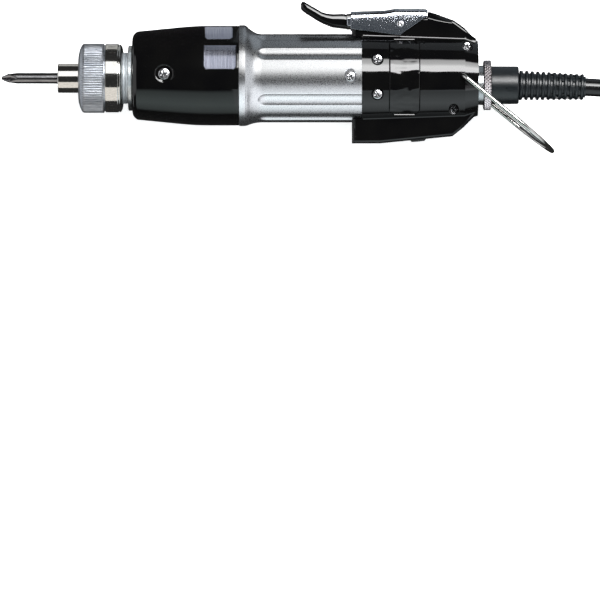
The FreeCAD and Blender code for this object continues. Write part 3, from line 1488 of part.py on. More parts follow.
# Coil: neat turns that spiral in and out in layers, from the top layer down to the floor.
entry = (lead_points[-1] - lead_points[-2]).normalize()
level = Vector(entry.x, entry.y, 0).normalize()
coil_start = lead_points[-1] + entry * cord_dia
outer = number("coil_outer")
coil_step = number("coil_step")
layer_turns = number("coil_turns_per_layer")
layers = int(number("coil_layers"))
coil_centre = coil_start + Vector(-level.y, level.x, 0) * outer
first_angle = math.atan2(coil_start.y - coil_centre.y, coil_start.x - coil_centre.x)
tie_room = number("tie_thick + tie_gap")
low_layer = cord_dia / 2 + tie_room - number("floor_depth")
start_drop = low_layer + coil_step * (layers - 1) - coil_start.z
total_turns = layer_turns * layers
ramp_turns = 2 * start_drop / (entry.z / math.hypot(entry.x, entry.y) * math.tau * outer)


def coil_track(turn):
    """A point of the coil after so many turns."""
    inside = max(0.0, min(total_turns, turn))
    layer = min(layers - 1, int(inside / layer_turns))
    part = inside - layer * layer_turns
    inward = part if layer % 2 == 0 else layer_turns - part
    radius = outer - coil_step * inward
    height = layers - 1 - layer
    for change in range(1, layers):
        share = (inside - change * layer_turns) / 0.5 + 0.5
        share = max(0.0, min(1.0, share))
        eased = share * share * (3 - 2 * share)
        if change == layer + 1:
            height -= eased
        elif change == layer:
            height += 1 - eased
    ramp = max(0.0, 1 - inside / ramp_turns)
    angle = first_angle + math.tau * inside
    spot = Vector(radius * math.cos(angle), radius * math.sin(angle), 0)
    spot += Vector(coil_centre.x, coil_centre.y, low_layer + coil_step * height - start_drop * ramp * ramp)
    if turn != inside:
        along = Vector(-math.sin(angle), math.cos(angle), 0)
        spot += along * (math.tau * radius * (turn - inside))
    return spot


def least_gap(path, dia):
    """The least gap of a wound tube to itself, measured between points along it."""
    step = dia / 3
    spots = path.discretize(Distance=step)
    apart = int(1.6 * dia * math.pi / step)
    least = min(
        spots[first].distanceToPoint(spots[second])
        for first in range(len(spots))
        for second in range(first + apart, len(spots))
    )
    return least - dia


tail_heading = (coil_track(total_turns + 1e-4) - coil_track(total_turns)).normalize()
coil_tube, coil_path = wound(coil_track, total_turns, cord_dia, 8, ends=(entry, tail_heading))
print("cord_coil least gap", round(least_gap(coil_path, cord_dia), 2), "length", round(coil_path.Length, 1))
keep("cord_coil", formed(coil_tube))

# Cord tie: a strap round the bundle on the far side of the coil.
bundle_in = outer - coil_step * layer_turns - cord_dia / 2 - number("tie_gap")
bundle_out = outer + cord_dia / 2 + number("tie_gap")
bundle_low = low_layer - cord_dia / 2 - number("tie_gap")
bundle_high = low_layer + coil_step * (layers - 1) + cord_dia / 2 + number("tie_gap")
tie_thick = number("tie_thick")
tie_wide = number("tie_wide")


def strap(grow):
    """The box round the bundle, larger by so much on each side."""
    corner = Vector(bundle_in - grow, -tie_wide / 2, bundle_low - grow)
    size = (bundle_out - bundle_in + 2 * grow, tie_wide, bundle_high - bundle_low + 2 * grow)
    return Part.makeBox(*size, corner + Vector(coil_centre.x, coil_centre.y, 0))


keep("cord_tie", formed(strap(tie_thick).cut(strap(0))))

# Tail and far plug: a moulded body, a metal shell and its pins.
tail_start = coil_track(total_turns) + tail_heading * cord_dia
tail_points = [tail_start + Vector(*offset) for offset in TAIL]
tail_points[1] = tail_start + tail_heading * Vector(*TAIL[1]).Length
tail_tube, tail_length = cord_tube(tail_points, "cord_tail")
keep("cord_tail", formed(tail_tube))
print("cord length", round(lead_length + coil_path.Length + tail_length, 1))
plug_heading = (tail_points[-1] - tail_points[-2]).normalize()
plug_place = Placement(tail_points[-1], Rotation(Vector(1, 0, 0), plug_heading))
plug_body = turned([
    ("0", "0"),
    ("0", "cord_dia / 2 + 0.6"),
    ("plug_long / 3", "plug_dia / 2 - 1"),
    ("plug_long / 3", "plug_dia / 2"),
    ("plug_long", "plug_dia / 2"),
    ("plug_long", "0"),
])
plug_shell = turned([
    ("plug_long", "plug_shell_dia / 2 - plug_shell_wall"),
    ("plug_long", "plug_shell_dia / 2"),
    ("plug_long + plug_shell_long", "plug_shell_dia / 2"),
    ("plug_long + plug_shell_long", "plug_shell_dia / 2 - plug_shell_wall"),
])
pin_count = int(number("plug_pins"))
plug_pins = []
for index in range(pin_count):
    turn = "(%s)" % (180 / (pin_count - 1) * index)
    reach = "plug_shell_dia / 4 * "
    plug_pins.append(rod(
        "x", "plug_pin_dia", "plug_long", "plug_long + plug_shell_long - 1",
        (reach + "cos" + turn, reach + "sin" + turn),
    ))
for label, thing in (
    ("far_plug_body", plug_body), ("far_plug_shell", plug_shell), ("far_plug_pins", group(*plug_pins))
):
    thing.Placement = plug_place
    keep(label, thing)

doc.recompute()
faults = [thing.Label for thing in doc.Objects if "Invalid" in thing.State or "Error" in thing.State]
if faults:
    raise RuntimeError("these objects failed: " + ", ".join(faults))
for label, thing in pieces.items():
    if thing.Shape.isNull() or not thing.Shape.isValid() or not thing.Shape.Solids:
        raise RuntimeError("no sound solid in " + label)
os.makedirs("parts", exist_ok=True)
for label, thing in pieces.items():
    thing.Shape.exportStep("parts/" + label + ".step")
print(len(pieces), "pieces")
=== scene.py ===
import bmesh
import bpy
import math

from mathutils import Matrix, Vector


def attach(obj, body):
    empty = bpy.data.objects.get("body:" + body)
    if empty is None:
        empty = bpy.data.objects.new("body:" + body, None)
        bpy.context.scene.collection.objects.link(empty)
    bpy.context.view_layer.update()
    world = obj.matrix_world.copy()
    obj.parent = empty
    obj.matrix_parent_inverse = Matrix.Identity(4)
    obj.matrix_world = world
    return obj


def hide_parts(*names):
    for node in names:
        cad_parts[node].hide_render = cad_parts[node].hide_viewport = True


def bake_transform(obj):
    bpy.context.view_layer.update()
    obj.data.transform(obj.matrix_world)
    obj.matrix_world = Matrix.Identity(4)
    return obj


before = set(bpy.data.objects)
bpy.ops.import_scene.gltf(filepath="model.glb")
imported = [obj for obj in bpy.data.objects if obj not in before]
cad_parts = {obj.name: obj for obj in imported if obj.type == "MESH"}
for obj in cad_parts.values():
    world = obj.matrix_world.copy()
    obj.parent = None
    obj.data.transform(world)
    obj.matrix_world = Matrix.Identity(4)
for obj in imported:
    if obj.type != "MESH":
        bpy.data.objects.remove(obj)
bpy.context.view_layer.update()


# Screwdriver bit: a slim round shank with a four-winged cross point and a hexagonal tail in the chuck.
# Hardened tool steel, ground to size. It drops into the spindle and two balls hold it there.
MM = 0.001


def linear(hex_colour):
    """An sRGB hex colour as linear red, green, blue and alpha."""
    parts = [int(hex_colour[start:start + 2], 16) / 255 for start in (1, 3, 5)]
    return tuple(part / 12.92 if part <= 0.04045 else ((part + 0.055) / 1.055) ** 2.4 for part in parts) + (1.0,)


def add_node(material, kind, sockets=None):
    """Add a node. Its sockets get constants, or the outputs that are to be linked to them."""
    tree = material.node_tree
    node = tree.nodes.new(kind)
    for name, value in (sockets or {}).items():
        if isinstance(value, bpy.types.NodeSocket):
            tree.links.new(value, node.inputs[name])
        else:
            node.inputs[name].default_value = value
    return node


def new_material(name, colour, roughness, ior=None):
    """A material with one shader: a metal, or anything else where an IOR is given. Patterns come on it later."""
    material = bpy.data.materials.new(name)
    material.use_nodes = True
    material.node_tree.nodes.clear()
    kind = {"IOR": ior} if ior else {"Metallic": 1.0}
    sockets = {"Base Color": linear(colour), "Roughness": roughness, **kind}
    shader = add_node(material, "ShaderNodeBsdfPrincipled", sockets)
    add_node(material, "ShaderNodeOutputMaterial", {"Surface": shader.outputs["BSDF"]})
    return material


def shader_of(material):
    """The one shader of a material."""
    return next(node for node in material.node_tree.nodes if node.type == "BSDF_PRINCIPLED")


def add_pattern(material, grain, stretch=(1, 1, 1), tint=None, gloss=None, bump=None, detail=4):
    """Lay a grain over a material. Grain is its size in millimetres, stretch draws it out along X, Y and Z.
    Tint is a dark and a light colour, gloss a low and a high roughness, bump a height in millimetres."""
    shader = shader_of(material)
    spot = add_node(material, "ShaderNodeTexCoord").outputs["Object"]
    drawn = add_node(material, "ShaderNodeMapping", {"Vector": spot, "Scale": [1 / part for part in stretch]})
    noise = add_node(material, "ShaderNodeTexNoise", {
        "Vector": drawn.outputs["Vector"], "Scale": 1 / (grain * MM), "Detail": detail, "Roughness": 0.6,
    })
    links = material.node_tree.links
    if tint:
        ramp = add_node(material, "ShaderNodeValToRGB", {"Fac": noise.outputs["Fac"]})
        for stop, place, colour in zip(ramp.color_ramp.elements, (0.35, 0.65), tint):
            stop.position = place
            stop.color = linear(colour)
        links.new(ramp.outputs["Color"], shader.inputs["Base Color"])
    if gloss:
        spread = add_node(material, "ShaderNodeMapRange", {
            "Value": noise.outputs["Fac"], "From Min": 0.3, "From Max": 0.7, "To Min": gloss[0], "To Max": gloss[1],
        })
        links.new(spread.outputs["Result"], shader.inputs["Roughness"])
    if bump:
        below = shader.inputs["Normal"].links
        raised = add_node(material, "ShaderNodeBump", {
            "Height": noise.outputs["Fac"], "Distance": bump * MM, "Strength": 1.0,
        })
        if below:
            links.new(below[0].from_socket, raised.inputs["Normal"])
        links.new(raised.outputs["Normal"], shader.inputs["Normal"])


def dress(material, *nodes):
    """Give CAD nodes a material."""
    for node in nodes:
        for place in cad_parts[node].material_slots:
            place.material = material


# Ground tool steel: dark grey metal with soft streaks along the shank from the grinding wheel.
# The same darker steel is also painted shade on the walls of the screw heads' cross recesses.
ground_steel_and_recess_shade = new_material("Tool steel, hardened and ground", "#8b8b8d", 0.21)
add_pattern(ground_steel_and_recess_shade, 0.7, (8, 0.5, 0.5), tint=("#7a7a7c", "#9c9c9e"), gloss=(0.16, 0.26), bump=0.003)
dress(ground_steel_and_recess_shade, "spindle")


def put(name, mesh):
    """Put a mesh or a curve in the scene as a piece."""
    piece = bpy.data.objects.new(name, mesh)
    bpy.context.scene.collection.objects.link(piece)
    return piece


def formed(name, shape):
    """Put a shape that is ready in the scene as a piece."""
    mesh = bpy.data.meshes.new(name)
    shape.to_mesh(mesh)
    shape.free()
    return put(name, mesh)


def turned(name, profile, steps=96, rise=0.0, shape=None, closed=False):
    """A piece turned about X from (x, radius) points in millimetres. A shape(x, angle, radius) may move the
    surface in or out, rise lifts the axis along Y and closed joins the last point to the first."""
    spots = []
    rows = []
    for x, radius in profile:
        if radius == 0:
            rows.append([len(spots)] * steps)
            spots.append((x, rise, 0))
            continue
        rows.append(list(range(len(spots), len(spots) + steps)))
        for step in range(steps):
            angle = math.tau * step / steps
            out = shape(x, angle, radius) if shape else radius
            spots.append((x, rise + out * math.sin(angle), out * math.cos(angle)))
    faces = []
    for front, back in zip(rows, rows[1:] + rows[:1] if closed else rows[1:]):
        for step in range(steps):
            after = (step + 1) % steps
            corners = (front[step], back[step], back[after], front[after])
            faces.append(list(dict.fromkeys(corners)))
    mesh = bpy.data.meshes.new(name)
    mesh.from_pydata([[part * MM for part in spot] for spot in spots], [], faces)
    return put(name, mesh)


def smoothed(piece, angle=40):
    """Shade a piece smooth, apart from edges sharper than an angle."""
    body = bmesh.new()
    body.from_mesh(piece.data)
    bmesh.ops.recalc_face_normals(body, faces=body.faces)
    body.to_mesh(piece.data)
    body.free()
    piece.data.shade_smooth()
    piece.data.set_sharp_from_angle(angle=math.radians(angle))
    if "even shading" not in piece.modifiers:
        piece.modifiers.new("even shading", "WEIGHTED_NORMAL").keep_sharp = True
    return piece


def eased(piece, width, steps=3, angle=32):
    """Round the edges of a piece by a width in millimetres."""
    smoothed(piece, angle)
    piece.modifiers.clear()
    bevel = piece.modifiers.new("eased edges", "BEVEL")
    bevel.width = width * MM
    bevel.segments = steps
    bevel.limit_method = "ANGLE"
    bevel.angle_limit = math.radians(angle)
    bevel.harden_normals = True
    return piece


def fit(piece, material, body, finish, *nodes):
    """Give a piece its material, the body that it moves with and the CAD nodes it stands for, which get the
    same material. The finish is not used."""
    piece.data.materials.append(material)
    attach(piece, body)
    if nodes:
        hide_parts(*nodes)
        dress(material, *nodes)
    return piece


POINT = -26.0
FLUTE_END = -18.8
FLUTE_WIDE = math.radians(36)
FLUTE_RUN = 3.2
FLUTE_DEEP = 0.62


def cross_point(x, angle, radius):
    """Four flutes that run out along the shank and leave four wings at the point."""
    if x > FLUTE_END:
        return radius
    reach = min(1.0, (FLUTE_END - x) / FLUTE_RUN)
    wide = FLUTE_WIDE * math.sqrt(reach)
    off = abs((angle + math.pi / 4) % (math.pi / 2) - math.pi / 4)
    deep = FLUTE_DEEP * reach * max(0.0, 1 - off / max(wide, 0.01))
    return radius * (1 - deep)


bit_profile = [(POINT, 0), (POINT, 0.7), (POINT + 0.2, 0.9)]
bit_profile += [(POINT + 0.2 + 0.25 * step, 0.9 + 0.132 * step) for step in range(1, 13)]
bit_profile += [(-22.4 + 0.3 * step, 2.5) for step in range(14)]
bit_profile += [(-17.0, 2.5), (-8, 2.5), (0.2, 2.5), (15.9, 2.45), (15.9, 0)]
bit = smoothed(turned("screwdriver_bit.ground", bit_profile, 128, shape=cross_point), 35)
fit(bit, ground_steel_and_recess_shade, "spindle", "tool_steel", "screwdriver_bit")


# Quick chuck: a plain sleeve that slides forward against a spring and frees the two lock balls.
# Turned steel, nickel plated and polished. An open clip in the spindle's groove stops the spring.
# Polished nickel: a bright, faintly warm mirror with a slight haze.
polished_nickel = new_material("Steel, nickel plated and polished", "#dad9d5", 0.1)
add_pattern(polished_nickel, 1.2, (1, 0.4, 0.4), tint=("#d1d0cc", "#e3e2df"), gloss=(0.06, 0.14))
# Drawn spring wire: bright steel with a slightly uneven shine.
spring_wire = new_material("Spring steel, bright drawn", "#b9b8b5", 0.2)
add_pattern(spring_wire, 0.6, tint=("#a9a8a5", "#c6c5c2"), gloss=(0.15, 0.27))
sleeve = turned("bit_sleeve.polished", [
    (0, 5.9), (0, 6.7), (14, 6.7), (14, 5.8), (10, 5.8), (10, 4.63), (7, 4.63), (7, 5.9),
], closed=True)
eased(sleeve, 0.45, 4)
fit(sleeve, polished_nickel, "bit_sleeve", "polished_steel", "bit_sleeve")
dress(polished_nickel, "lock_balls")
dress(spring_wire, "sleeve_spring", "torque_spring", "retaining_clip")


def closing_spring(node):
    """A coil spring as a copy of its CAD node's mesh, set in place, with the node hidden."""
    spring = put(node + ".wire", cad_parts[node].data.copy())
    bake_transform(spring)
    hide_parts(node)


closing_spring("sleeve_spring")


# Torque nut: a knurled grip band, a groove and a plain band with a scale, screwed on the clutch's thread.
# Turned steel, straight knurled by a roller, then nickel plated. Turning it presses the torque spring.
NUT_FRONT = 9.6
KNURL_COUNT = 84
KNURL_DEEP = 0.26
KNURL_FROM = 10.2
KNURL_TO = 21.2
KNURL_LEAST = 12.5
BAND_SPAN = (21.9, 29.95)
MARK_GROUPS = (55, 175, 295)


def knurled(x, angle, radius):
    """Straight knurl: grooves along X between flat lands, which run out over the front edge and at the back of
    the grip band. Drawn at a pitch of 1.2 mm, coarse enough for the lines to show."""
    if radius < KNURL_LEAST or x > KNURL_TO + 0.15:
        return radius
    run = min(1.0, max(0.0, (x - KNURL_FROM) / 0.8), max(0.0, (KNURL_TO - x) / 0.4))
    return radius - KNURL_DEEP * run * (0.5 - 0.5 * math.cos(KNURL_COUNT * angle)) ** 3


nut_profile = [(NUT_FRONT, 7.0), (NUT_FRONT, 11.3), (9.75, 11.6)]
nut_profile += [(9.9, 12.4), (10.15, 13.2), (10.5, 14.1), (10.95, 15.0), (11.4, 15.55), (11.9, 15.83)]
nut_profile += [(12.35, 15.9), (12.9, 15.9), (13.2, 15.9)]
nut_profile += [(13.2 + 0.8 * step, 15.9) for step in range(1, 10)]
nut_profile += [(20.8, 15.9), (21.0, 15.9), (21.2, 15.9), (21.3, 15.75), (21.3, 15.2), (22.0, 15.2), (22.0, 15.55)]
nut_profile += [(22.12, 15.68), (22.25, 15.7), (22.6, 15.7), (25, 15.7), (27.5, 15.7), (27.8, 15.7)]
nut_profile += [(27.95, 15.66), (28.05, 15.5), (28.1, 15.1), (28.4, 15.1), (28.4, 15.55)]
nut_profile += [(28.6, 15.6), (29.0, 15.4), (29.4, 14.9), (29.7, 14.2), (29.9, 13.3)]
nut_profile += [(29.9, 12.05), (16.2, 12.05), (16.2, 9.9), (12.9, 9.9), (12.9, 7.0)]
nut = turned("torque_nut.knurled", nut_profile, 10 * KNURL_COUNT, shape=knurled, closed=True)
smoothed(nut, 50)
# Rolled nickel: the same plating left dull by the roller, greyer and with its fine streaks along the grooves.
rolled_nickel = new_material("Steel, straight knurled and nickel plated", "#b9bec6", 0.33)
add_pattern(rolled_nickel, 0.6, (7, 0.7, 0.7), tint=("#a2a8b2", "#d2d6dc"), gloss=(0.26, 0.4), bump=0.006)
fit(nut, rolled_nickel, "torque_nut", "polished_steel", "torque_nut")
nut.data.materials.append(polished_nickel)
for face in nut.data.polygons:
    if BAND_SPAN[0] * MM < face.center.x < BAND_SPAN[1] * MM:
        face.material_index = 1
# Black enamel: the filled marks of the scale, with a slightly uneven shine.
black_enamel = new_material("Enamel, black, filled marks", "#161512", 0.3, 1.5)
add_pattern(black_enamel, 0.8, tint=("#12110f", "#23211c"), gloss=(0.22, 0.4))
marks = bmesh.new()
for place in [group + step for group in MARK_GROUPS for step in (-9, 0, 9)]:
    bar = bmesh.ops.create_cube(marks, size=MM)["verts"]
    bmesh.ops.scale(marks, vec=(4.6 if place in MARK_GROUPS else 3.4, 0.55, 0.2), verts=bar)
    bmesh.ops.translate(marks, vec=(25 * MM, 0, 15.64 * MM), verts=bar)
    bmesh.ops.rotate(marks, matrix=Matrix.Rotation(math.radians(-place), 3, "X"), verts=bar)
scale_marks = eased(formed("torque_nut.marks", marks), 0.05, 2)
fit(scale_marks, black_enamel, "torque_nut", "black_plastic")

# Zinc plate on the inner turned pieces: a dull, bluish grey.
zinc_plate = new_material("Steel, turned and zinc plated", "#b7bbbd", 0.24)
add_pattern(zinc_plate, 1.5, (0.2, 1, 1), tint=("#a6abae", "#c6cacc"), gloss=(0.18, 0.3), bump=0.006)
dress(zinc_plate, "spring_seat", "push_washer", "push_pins")
closing_spring("torque_spring")


# Clutch housing: the threaded nose that the torque nut runs on, with the gear cup behind it.
# Turned and thread cut steel, zinc plated. A plain front ring closes the mouth of the nose case.
THREAD_PITCH = 1.0
THREAD_TURNS = 12
THREAD_FROM = 19.7
THREAD_BORE = 11.3
ROOT, FLANK, SHOULDER, CREST = 11.62, 11.68, 11.86, 11.89
clutch_profile = [(19.65, THREAD_BORE)]
for turn in range(THREAD_TURNS):
    start = THREAD_FROM + THREAD_PITCH * turn
    clutch_profile += [(start, ROOT), (start + 0.22, FLANK), (start + 0.4, SHOULDER), (start + 0.5, CREST)]
    clutch_profile += [(start + 0.6, SHOULDER), (start + 0.78, FLANK)]
clutch_profile += [(31.7, ROOT), (32.35, ROOT), (32.35, THREAD_BORE)]
clutch_nose = turned("clutch_housing.thread", clutch_profile, 96, closed=True)
smoothed(clutch_nose, 60)
# Cut thread: the same zinc, duller on the flanks, so that the turns show as soft pale lines.
cut_thread = new_material("Steel, thread cut and zinc plated", "#c3cbd0", 0.4)
add_pattern(cut_thread, 1.5, (0.2, 1, 1), tint=("#c6cdd2", "#e2e6e9"), gloss=(0.48, 0.6))
fit(clutch_nose, cut_thread, "housing", "plated_steel")
front_ring = turned("front_ring.plated", [(32.4, 11.63), (32.4, 14.95), (34.3, 14.95), (34.3, 11.63)], closed=True)
eased(front_ring, 0.4)
fit(front_ring, zinc_plate, "housing", "plated_steel", "front_ring")
dress(zinc_plate, "clutch_housing", "front_bearing")


# Gear stage: a ring gear, three planets on a carrier and the sun on the motor's shaft, behind the clutch.
# Cut steel wheels, oiled. The planet carrier turns the spindle once for five turns of the motor.
# Oiled gear steel: mid grey with darker patches where the oil lies.
gear_steel = new_material("Gear steel, cut and oiled", "#8f8d88", 0.25)
add_pattern(gear_steel, 4.0, tint=("#7b7974", "#a19f9a"), gloss=(0.18, 0.34))
dress(gear_steel, "ring_gear", "planet_gear_1", "planet_gear_2", "planet_gear_3", "planet_carrier", "sun_gear")
dress(zinc_plate, "gear_plate")


# Motor: can, magnets, wound armature, commutator, carbon brushes in their holder and two oil bushes.
# Drawn and stamped metal with ferrite magnets. It sits in the grip tube, and the holder in the rear housing.
# Sintered bronze: brown, with open pores that hold the oil.
bronze = new_material("Bearing bronze, sintered", "#9a6b3c", 0.4)
add_pattern(bronze, 0.4, tint=("#835a31", "#ad7b48"), gloss=(0.32, 0.5), bump=0.02)
# Ferrite: matt charcoal with a fine pressed grain.
ferrite = new_material("Ferrite, pressed and fired", "#2c2b2b", 0.6, 1.6)
add_pattern(ferrite, 0.5, tint=("#242424", "#353433"), gloss=(0.5, 0.7), bump=0.02)
# Enamelled copper: orange brown and glossy, with the lines of the wire.
copper = new_material("Copper wire, enamelled", "#9c5427", 0.22)
add_pattern(copper, 0.8, (3, 1, 1), tint=("#84431d", "#b06733"), gloss=(0.15, 0.3), bump=0.05)
# Carbon: dull black grey with a faint sparkle of graphite.
carbon = new_material("Carbon, pressed", "#2a2a2b", 0.5, 1.8)
add_pattern(carbon, 0.3, tint=("#202021", "#39393a"), gloss=(0.4, 0.6))
dress(bronze, "front_bush", "rear_bush")
dress(ferrite, "motor_magnets")
dress(copper, "armature_winding", "commutator")
dress(carbon, "carbon_brushes")
dress(gear_steel, "motor_shaft", "armature_core")
dress(zinc_plate, "motor_can")
# Matt nylon: charcoal black, with a soft sheen and a fine spark-eroded grain.
matt_nylon = new_material("Nylon, moulded and matt", "#1b1b1c", 0.5, 1.53)
add_pattern(matt_nylon, 0.4, tint=("#171718", "#202021"), gloss=(0.42, 0.58), bump=0.015)
dress(matt_nylon, "brush_holder")


# Nose case: the black shell round the gears, set a little above the spindle's axis, with a rounded front edge.
# Moulded ABS with a high gloss. One screw in a dished recess on each side holds it to the clutch housing.
CASE_RISE = 1.2
NOSE_SCREW = 49.2
SCREW_SEAT = 19.3
DISH = [(SCREW_SEAT, 0), (SCREW_SEAT, 3.6), (19.7, 4.2), (20.4, 4.3), (21.2, 4.35), (30, 6.0), (30, 0)]


def cut_out(piece, cutter):
    """Take a cutter out of a piece for good."""
    cut = piece.modifiers.new("cut", "BOOLEAN")
    cut.object = cutter
    cut.solver = "EXACT"
    seen = bpy.context.evaluated_depsgraph_get()
    piece.data = bpy.data.meshes.new_from_object(piece.evaluated_get(seen))
    piece.modifiers.clear()
    bpy.data.objects.remove(cutter)
    return piece


def upright(piece, x, y, z=0.0):
    """Turn a piece that was turned about X to stand along Z, at a place in millimetres."""
    stand = Matrix.Translation(Vector((x, y, z)) * MM) @ Matrix.Rotation(-math.pi / 2, 4, "Y")
    piece.data.transform(stand)


# Gloss ABS: near black and mirror smooth, with the slow waviness of a moulded wall.
gloss_abs = new_material("ABS, moulded with a high gloss", "#070708", 0.06, 1.54)
add_pattern(gloss_abs, 14.0, tint=("#050506", "#080808"), gloss=(0.045, 0.085), bump=0.14, detail=1)
case_profile = [(34.3, 11.7), (34.3, 16.4)]
for step in range(9):
    angle = math.radians(71 * step / 8)
    case_profile.append((34.3 + 3.7 * (1 - math.cos(angle)), 16.8 + 3.7 * math.sin(angle)))
case_profile += [(40, 20.62), (45, 21.11), (50, 21.61), (55, 22.11), (60, 22.55), (63, 22.75), (66, 22.86)]
case_profile += [(70, 22.9), (76, 22.9), (82.9, 22.9), (83.28, 22.75), (83.28, 19.5), (37, 19.0), (37, 11.7)]
case = turned("nose_case.gloss", case_profile, 160, CASE_RISE, closed=True)
for side in (1, -1):
    dish = smoothed(turned("recess", DISH, 64))
    upright(dish, NOSE_SCREW, CASE_RISE)
    if side < 0:
        dish.data.transform(Matrix.Rotation(math.pi, 4, "X"))
        dish.data.transform(Matrix.Translation((0, 2 * CASE_RISE * MM, 0)))
    cut_out(case, dish)
smoothed(case, 30)
fit(case, gloss_abs, "housing", "black_plastic", "nose_case")


# Name plates: two plain foils on the nose, one above the other, behind the screw.
# Rolled aluminium foil, brushed and lacquered, stuck on the curved wall.
def panel(name, radius_at, rise, span, low, high, corner, edge, drop, deep, cut_corners=(1, 1)):
    """A curved panel on a turned wall, facing +Z: an X span, two angles from +Z towards +Y in degrees, corner
    radius in millimetres at its low and high end, an edge that falls by a drop, and how deep it is."""
    middle = (span[0] + span[1]) / 2
    radius = radius_at(middle)
    bottom = math.radians(low) * radius
    top = math.radians(high) * radius
    levels = [bottom, bottom + edge, bottom + 2 * edge, top - 2 * edge]
    count = 28
    levels += [bottom + edge + (top - bottom - 2 * edge) * step / count for step in range(1, count)]
    levels += [top - edge, top]
    arc = [math.radians(step) for step in (20, 35, 50, 65, 80, 90)]
    for end, towards, rounded in ((bottom, 1, cut_corners[0]), (top, -1, cut_corners[1])):
        if rounded:
            levels += [end + towards * corner * (1 - math.cos(angle)) for angle in arc]
    levels = sorted(set(round(level, 5) for level in levels))
    shape = bmesh.new()
    rows = []
    for level in levels:
        pull = 0.0
        for end, rounded in ((level - bottom, cut_corners[0]), (top - level, cut_corners[1])):
            if rounded and end < corner:
                pull = max(pull, corner - math.sqrt(max(0.0, corner**2 - (corner - end) ** 2)))
        first = span[0] + pull
        last = span[1] - pull
        fall = drop * max(0.0, 1 - min(level - bottom, top - level) / edge)
        angle = level / radius
        row = []
        inner = 2 * edge
        for x, lower in (
            (first, drop), (first + edge, fall), (first + inner, fall), (middle, fall), (last - inner, fall),
            (last - edge, fall), (last, drop),
        ):
            out = radius_at(x) - lower
            row.append(shape.verts.new((x * MM, (rise + out * math.sin(angle)) * MM, out * math.cos(angle) * MM)))
        rows.append(row)
    for lower_row, upper_row in zip(rows, rows[1:]):
        for step in range(6):
            shape.faces.new((lower_row[step], lower_row[step + 1], upper_row[step + 1], upper_row[step]))
    rim = [border for border in shape.edges if border.is_boundary]
    walls = bmesh.ops.extrude_edge_only(shape, edges=rim)["geom"]
    sunk = [part for part in walls if isinstance(part, bmesh.types.BMVert)]
    for corner_point in sunk:
        angle = math.atan2(corner_point.co.y - rise * MM, corner_point.co.z)
        corner_point.co.y -= deep * MM * math.sin(angle)
        corner_point.co.z -= deep * MM * math.cos(angle)
    bmesh.ops.holes_fill(shape, edges=[border for border in shape.edges if border.is_boundary])
    return smoothed(formed(name, shape), 50)


# Brushed foil: light silver with fine lines round the nose and a faint lilac cast from its lacquer.
brushed_foil = new_material("Aluminium foil, brushed and lacquered", "#b3b5c2", 0.3)
add_pattern(brushed_foil, 0.5, (0.5, 30, 30), tint=("#9a9dac", "#b9bbc8"), gloss=(0.13, 0.2), bump=0.002)
foils = []
for name, span, low, high, corners in (
    ("nose_plate.lower", (67.2, 82.3), 4.6, 34.5, (1, 0)), ("nose_plate.upper", (67.6, 80.5), 44, 76, (1, 1)),
):
    foil = panel(name, lambda x: 23.02, CASE_RISE, span, low, high, 1.8, 0.25, 0.08, 0.2, corners)
    foils.append(fit(foil, brushed_foil, "housing", "polished_steel"))


# Grip tube: the fluted metal handle between the nose and the rear housing.
# Turned aluminium with a flange and a flare in front, eight ball-milled flutes, then a satin finish.
GRIP_RADIUS = 20.3
GRIP_BORE = 17.5
GRIP_SCREW = 134.3
FLANGE_RADIUS = 23.2
FLUTE_RADIUS = 6.18
FLUTE_ORBIT = 25.48
FLUTE_NOSE = 95.5
FLUTE_ANGLES = [math.radians(base + lean) for base in (0, 180) for lean in (-64.5, -31.5, 31.5, 64.5)]
FLARE_FROM = 86.4
FLARE_TO = 93.8


def lower_of(first, second, soft):
    """The lower of two heights, with a soft corner where they meet."""
    blend = max(soft - abs(first - second), 0.0) / soft
    return min(first, second) - blend * blend * soft / 4


def fluted(x, angle, radius):
    """The grip's outside: the off-centre flange, the flare and the flutes."""
    if radius <= GRIP_BORE:
        return radius
    flange = CASE_RISE * math.sin(angle) + math.sqrt(FLANGE_RADIUS**2 - (CASE_RISE * math.cos(angle)) ** 2)
    if x <= FLARE_FROM:
        return flange - (FLANGE_RADIUS - radius)
    part = min(1.0, (x - FLARE_FROM) / (FLARE_TO - FLARE_FROM))
    out = GRIP_RADIUS + (flange - GRIP_RADIUS) * (1 - part) ** 2
    reach = max(0.0, FLUTE_NOSE - x)
    if reach >= FLUTE_RADIUS:
        return out
    cutter = math.sqrt(FLUTE_RADIUS**2 - reach**2)
    for middle in FLUTE_ANGLES:
        lean = (angle - middle + math.pi) % math.tau - math.pi
        across = FLUTE_ORBIT * math.sin(lean)
        if abs(lean) < 1.0 and abs(across) < cutter:
            floor = FLUTE_ORBIT * math.cos(lean) - math.sqrt(cutter**2 - across**2)
            out = lower_of(out, floor, 0.12)
    return out


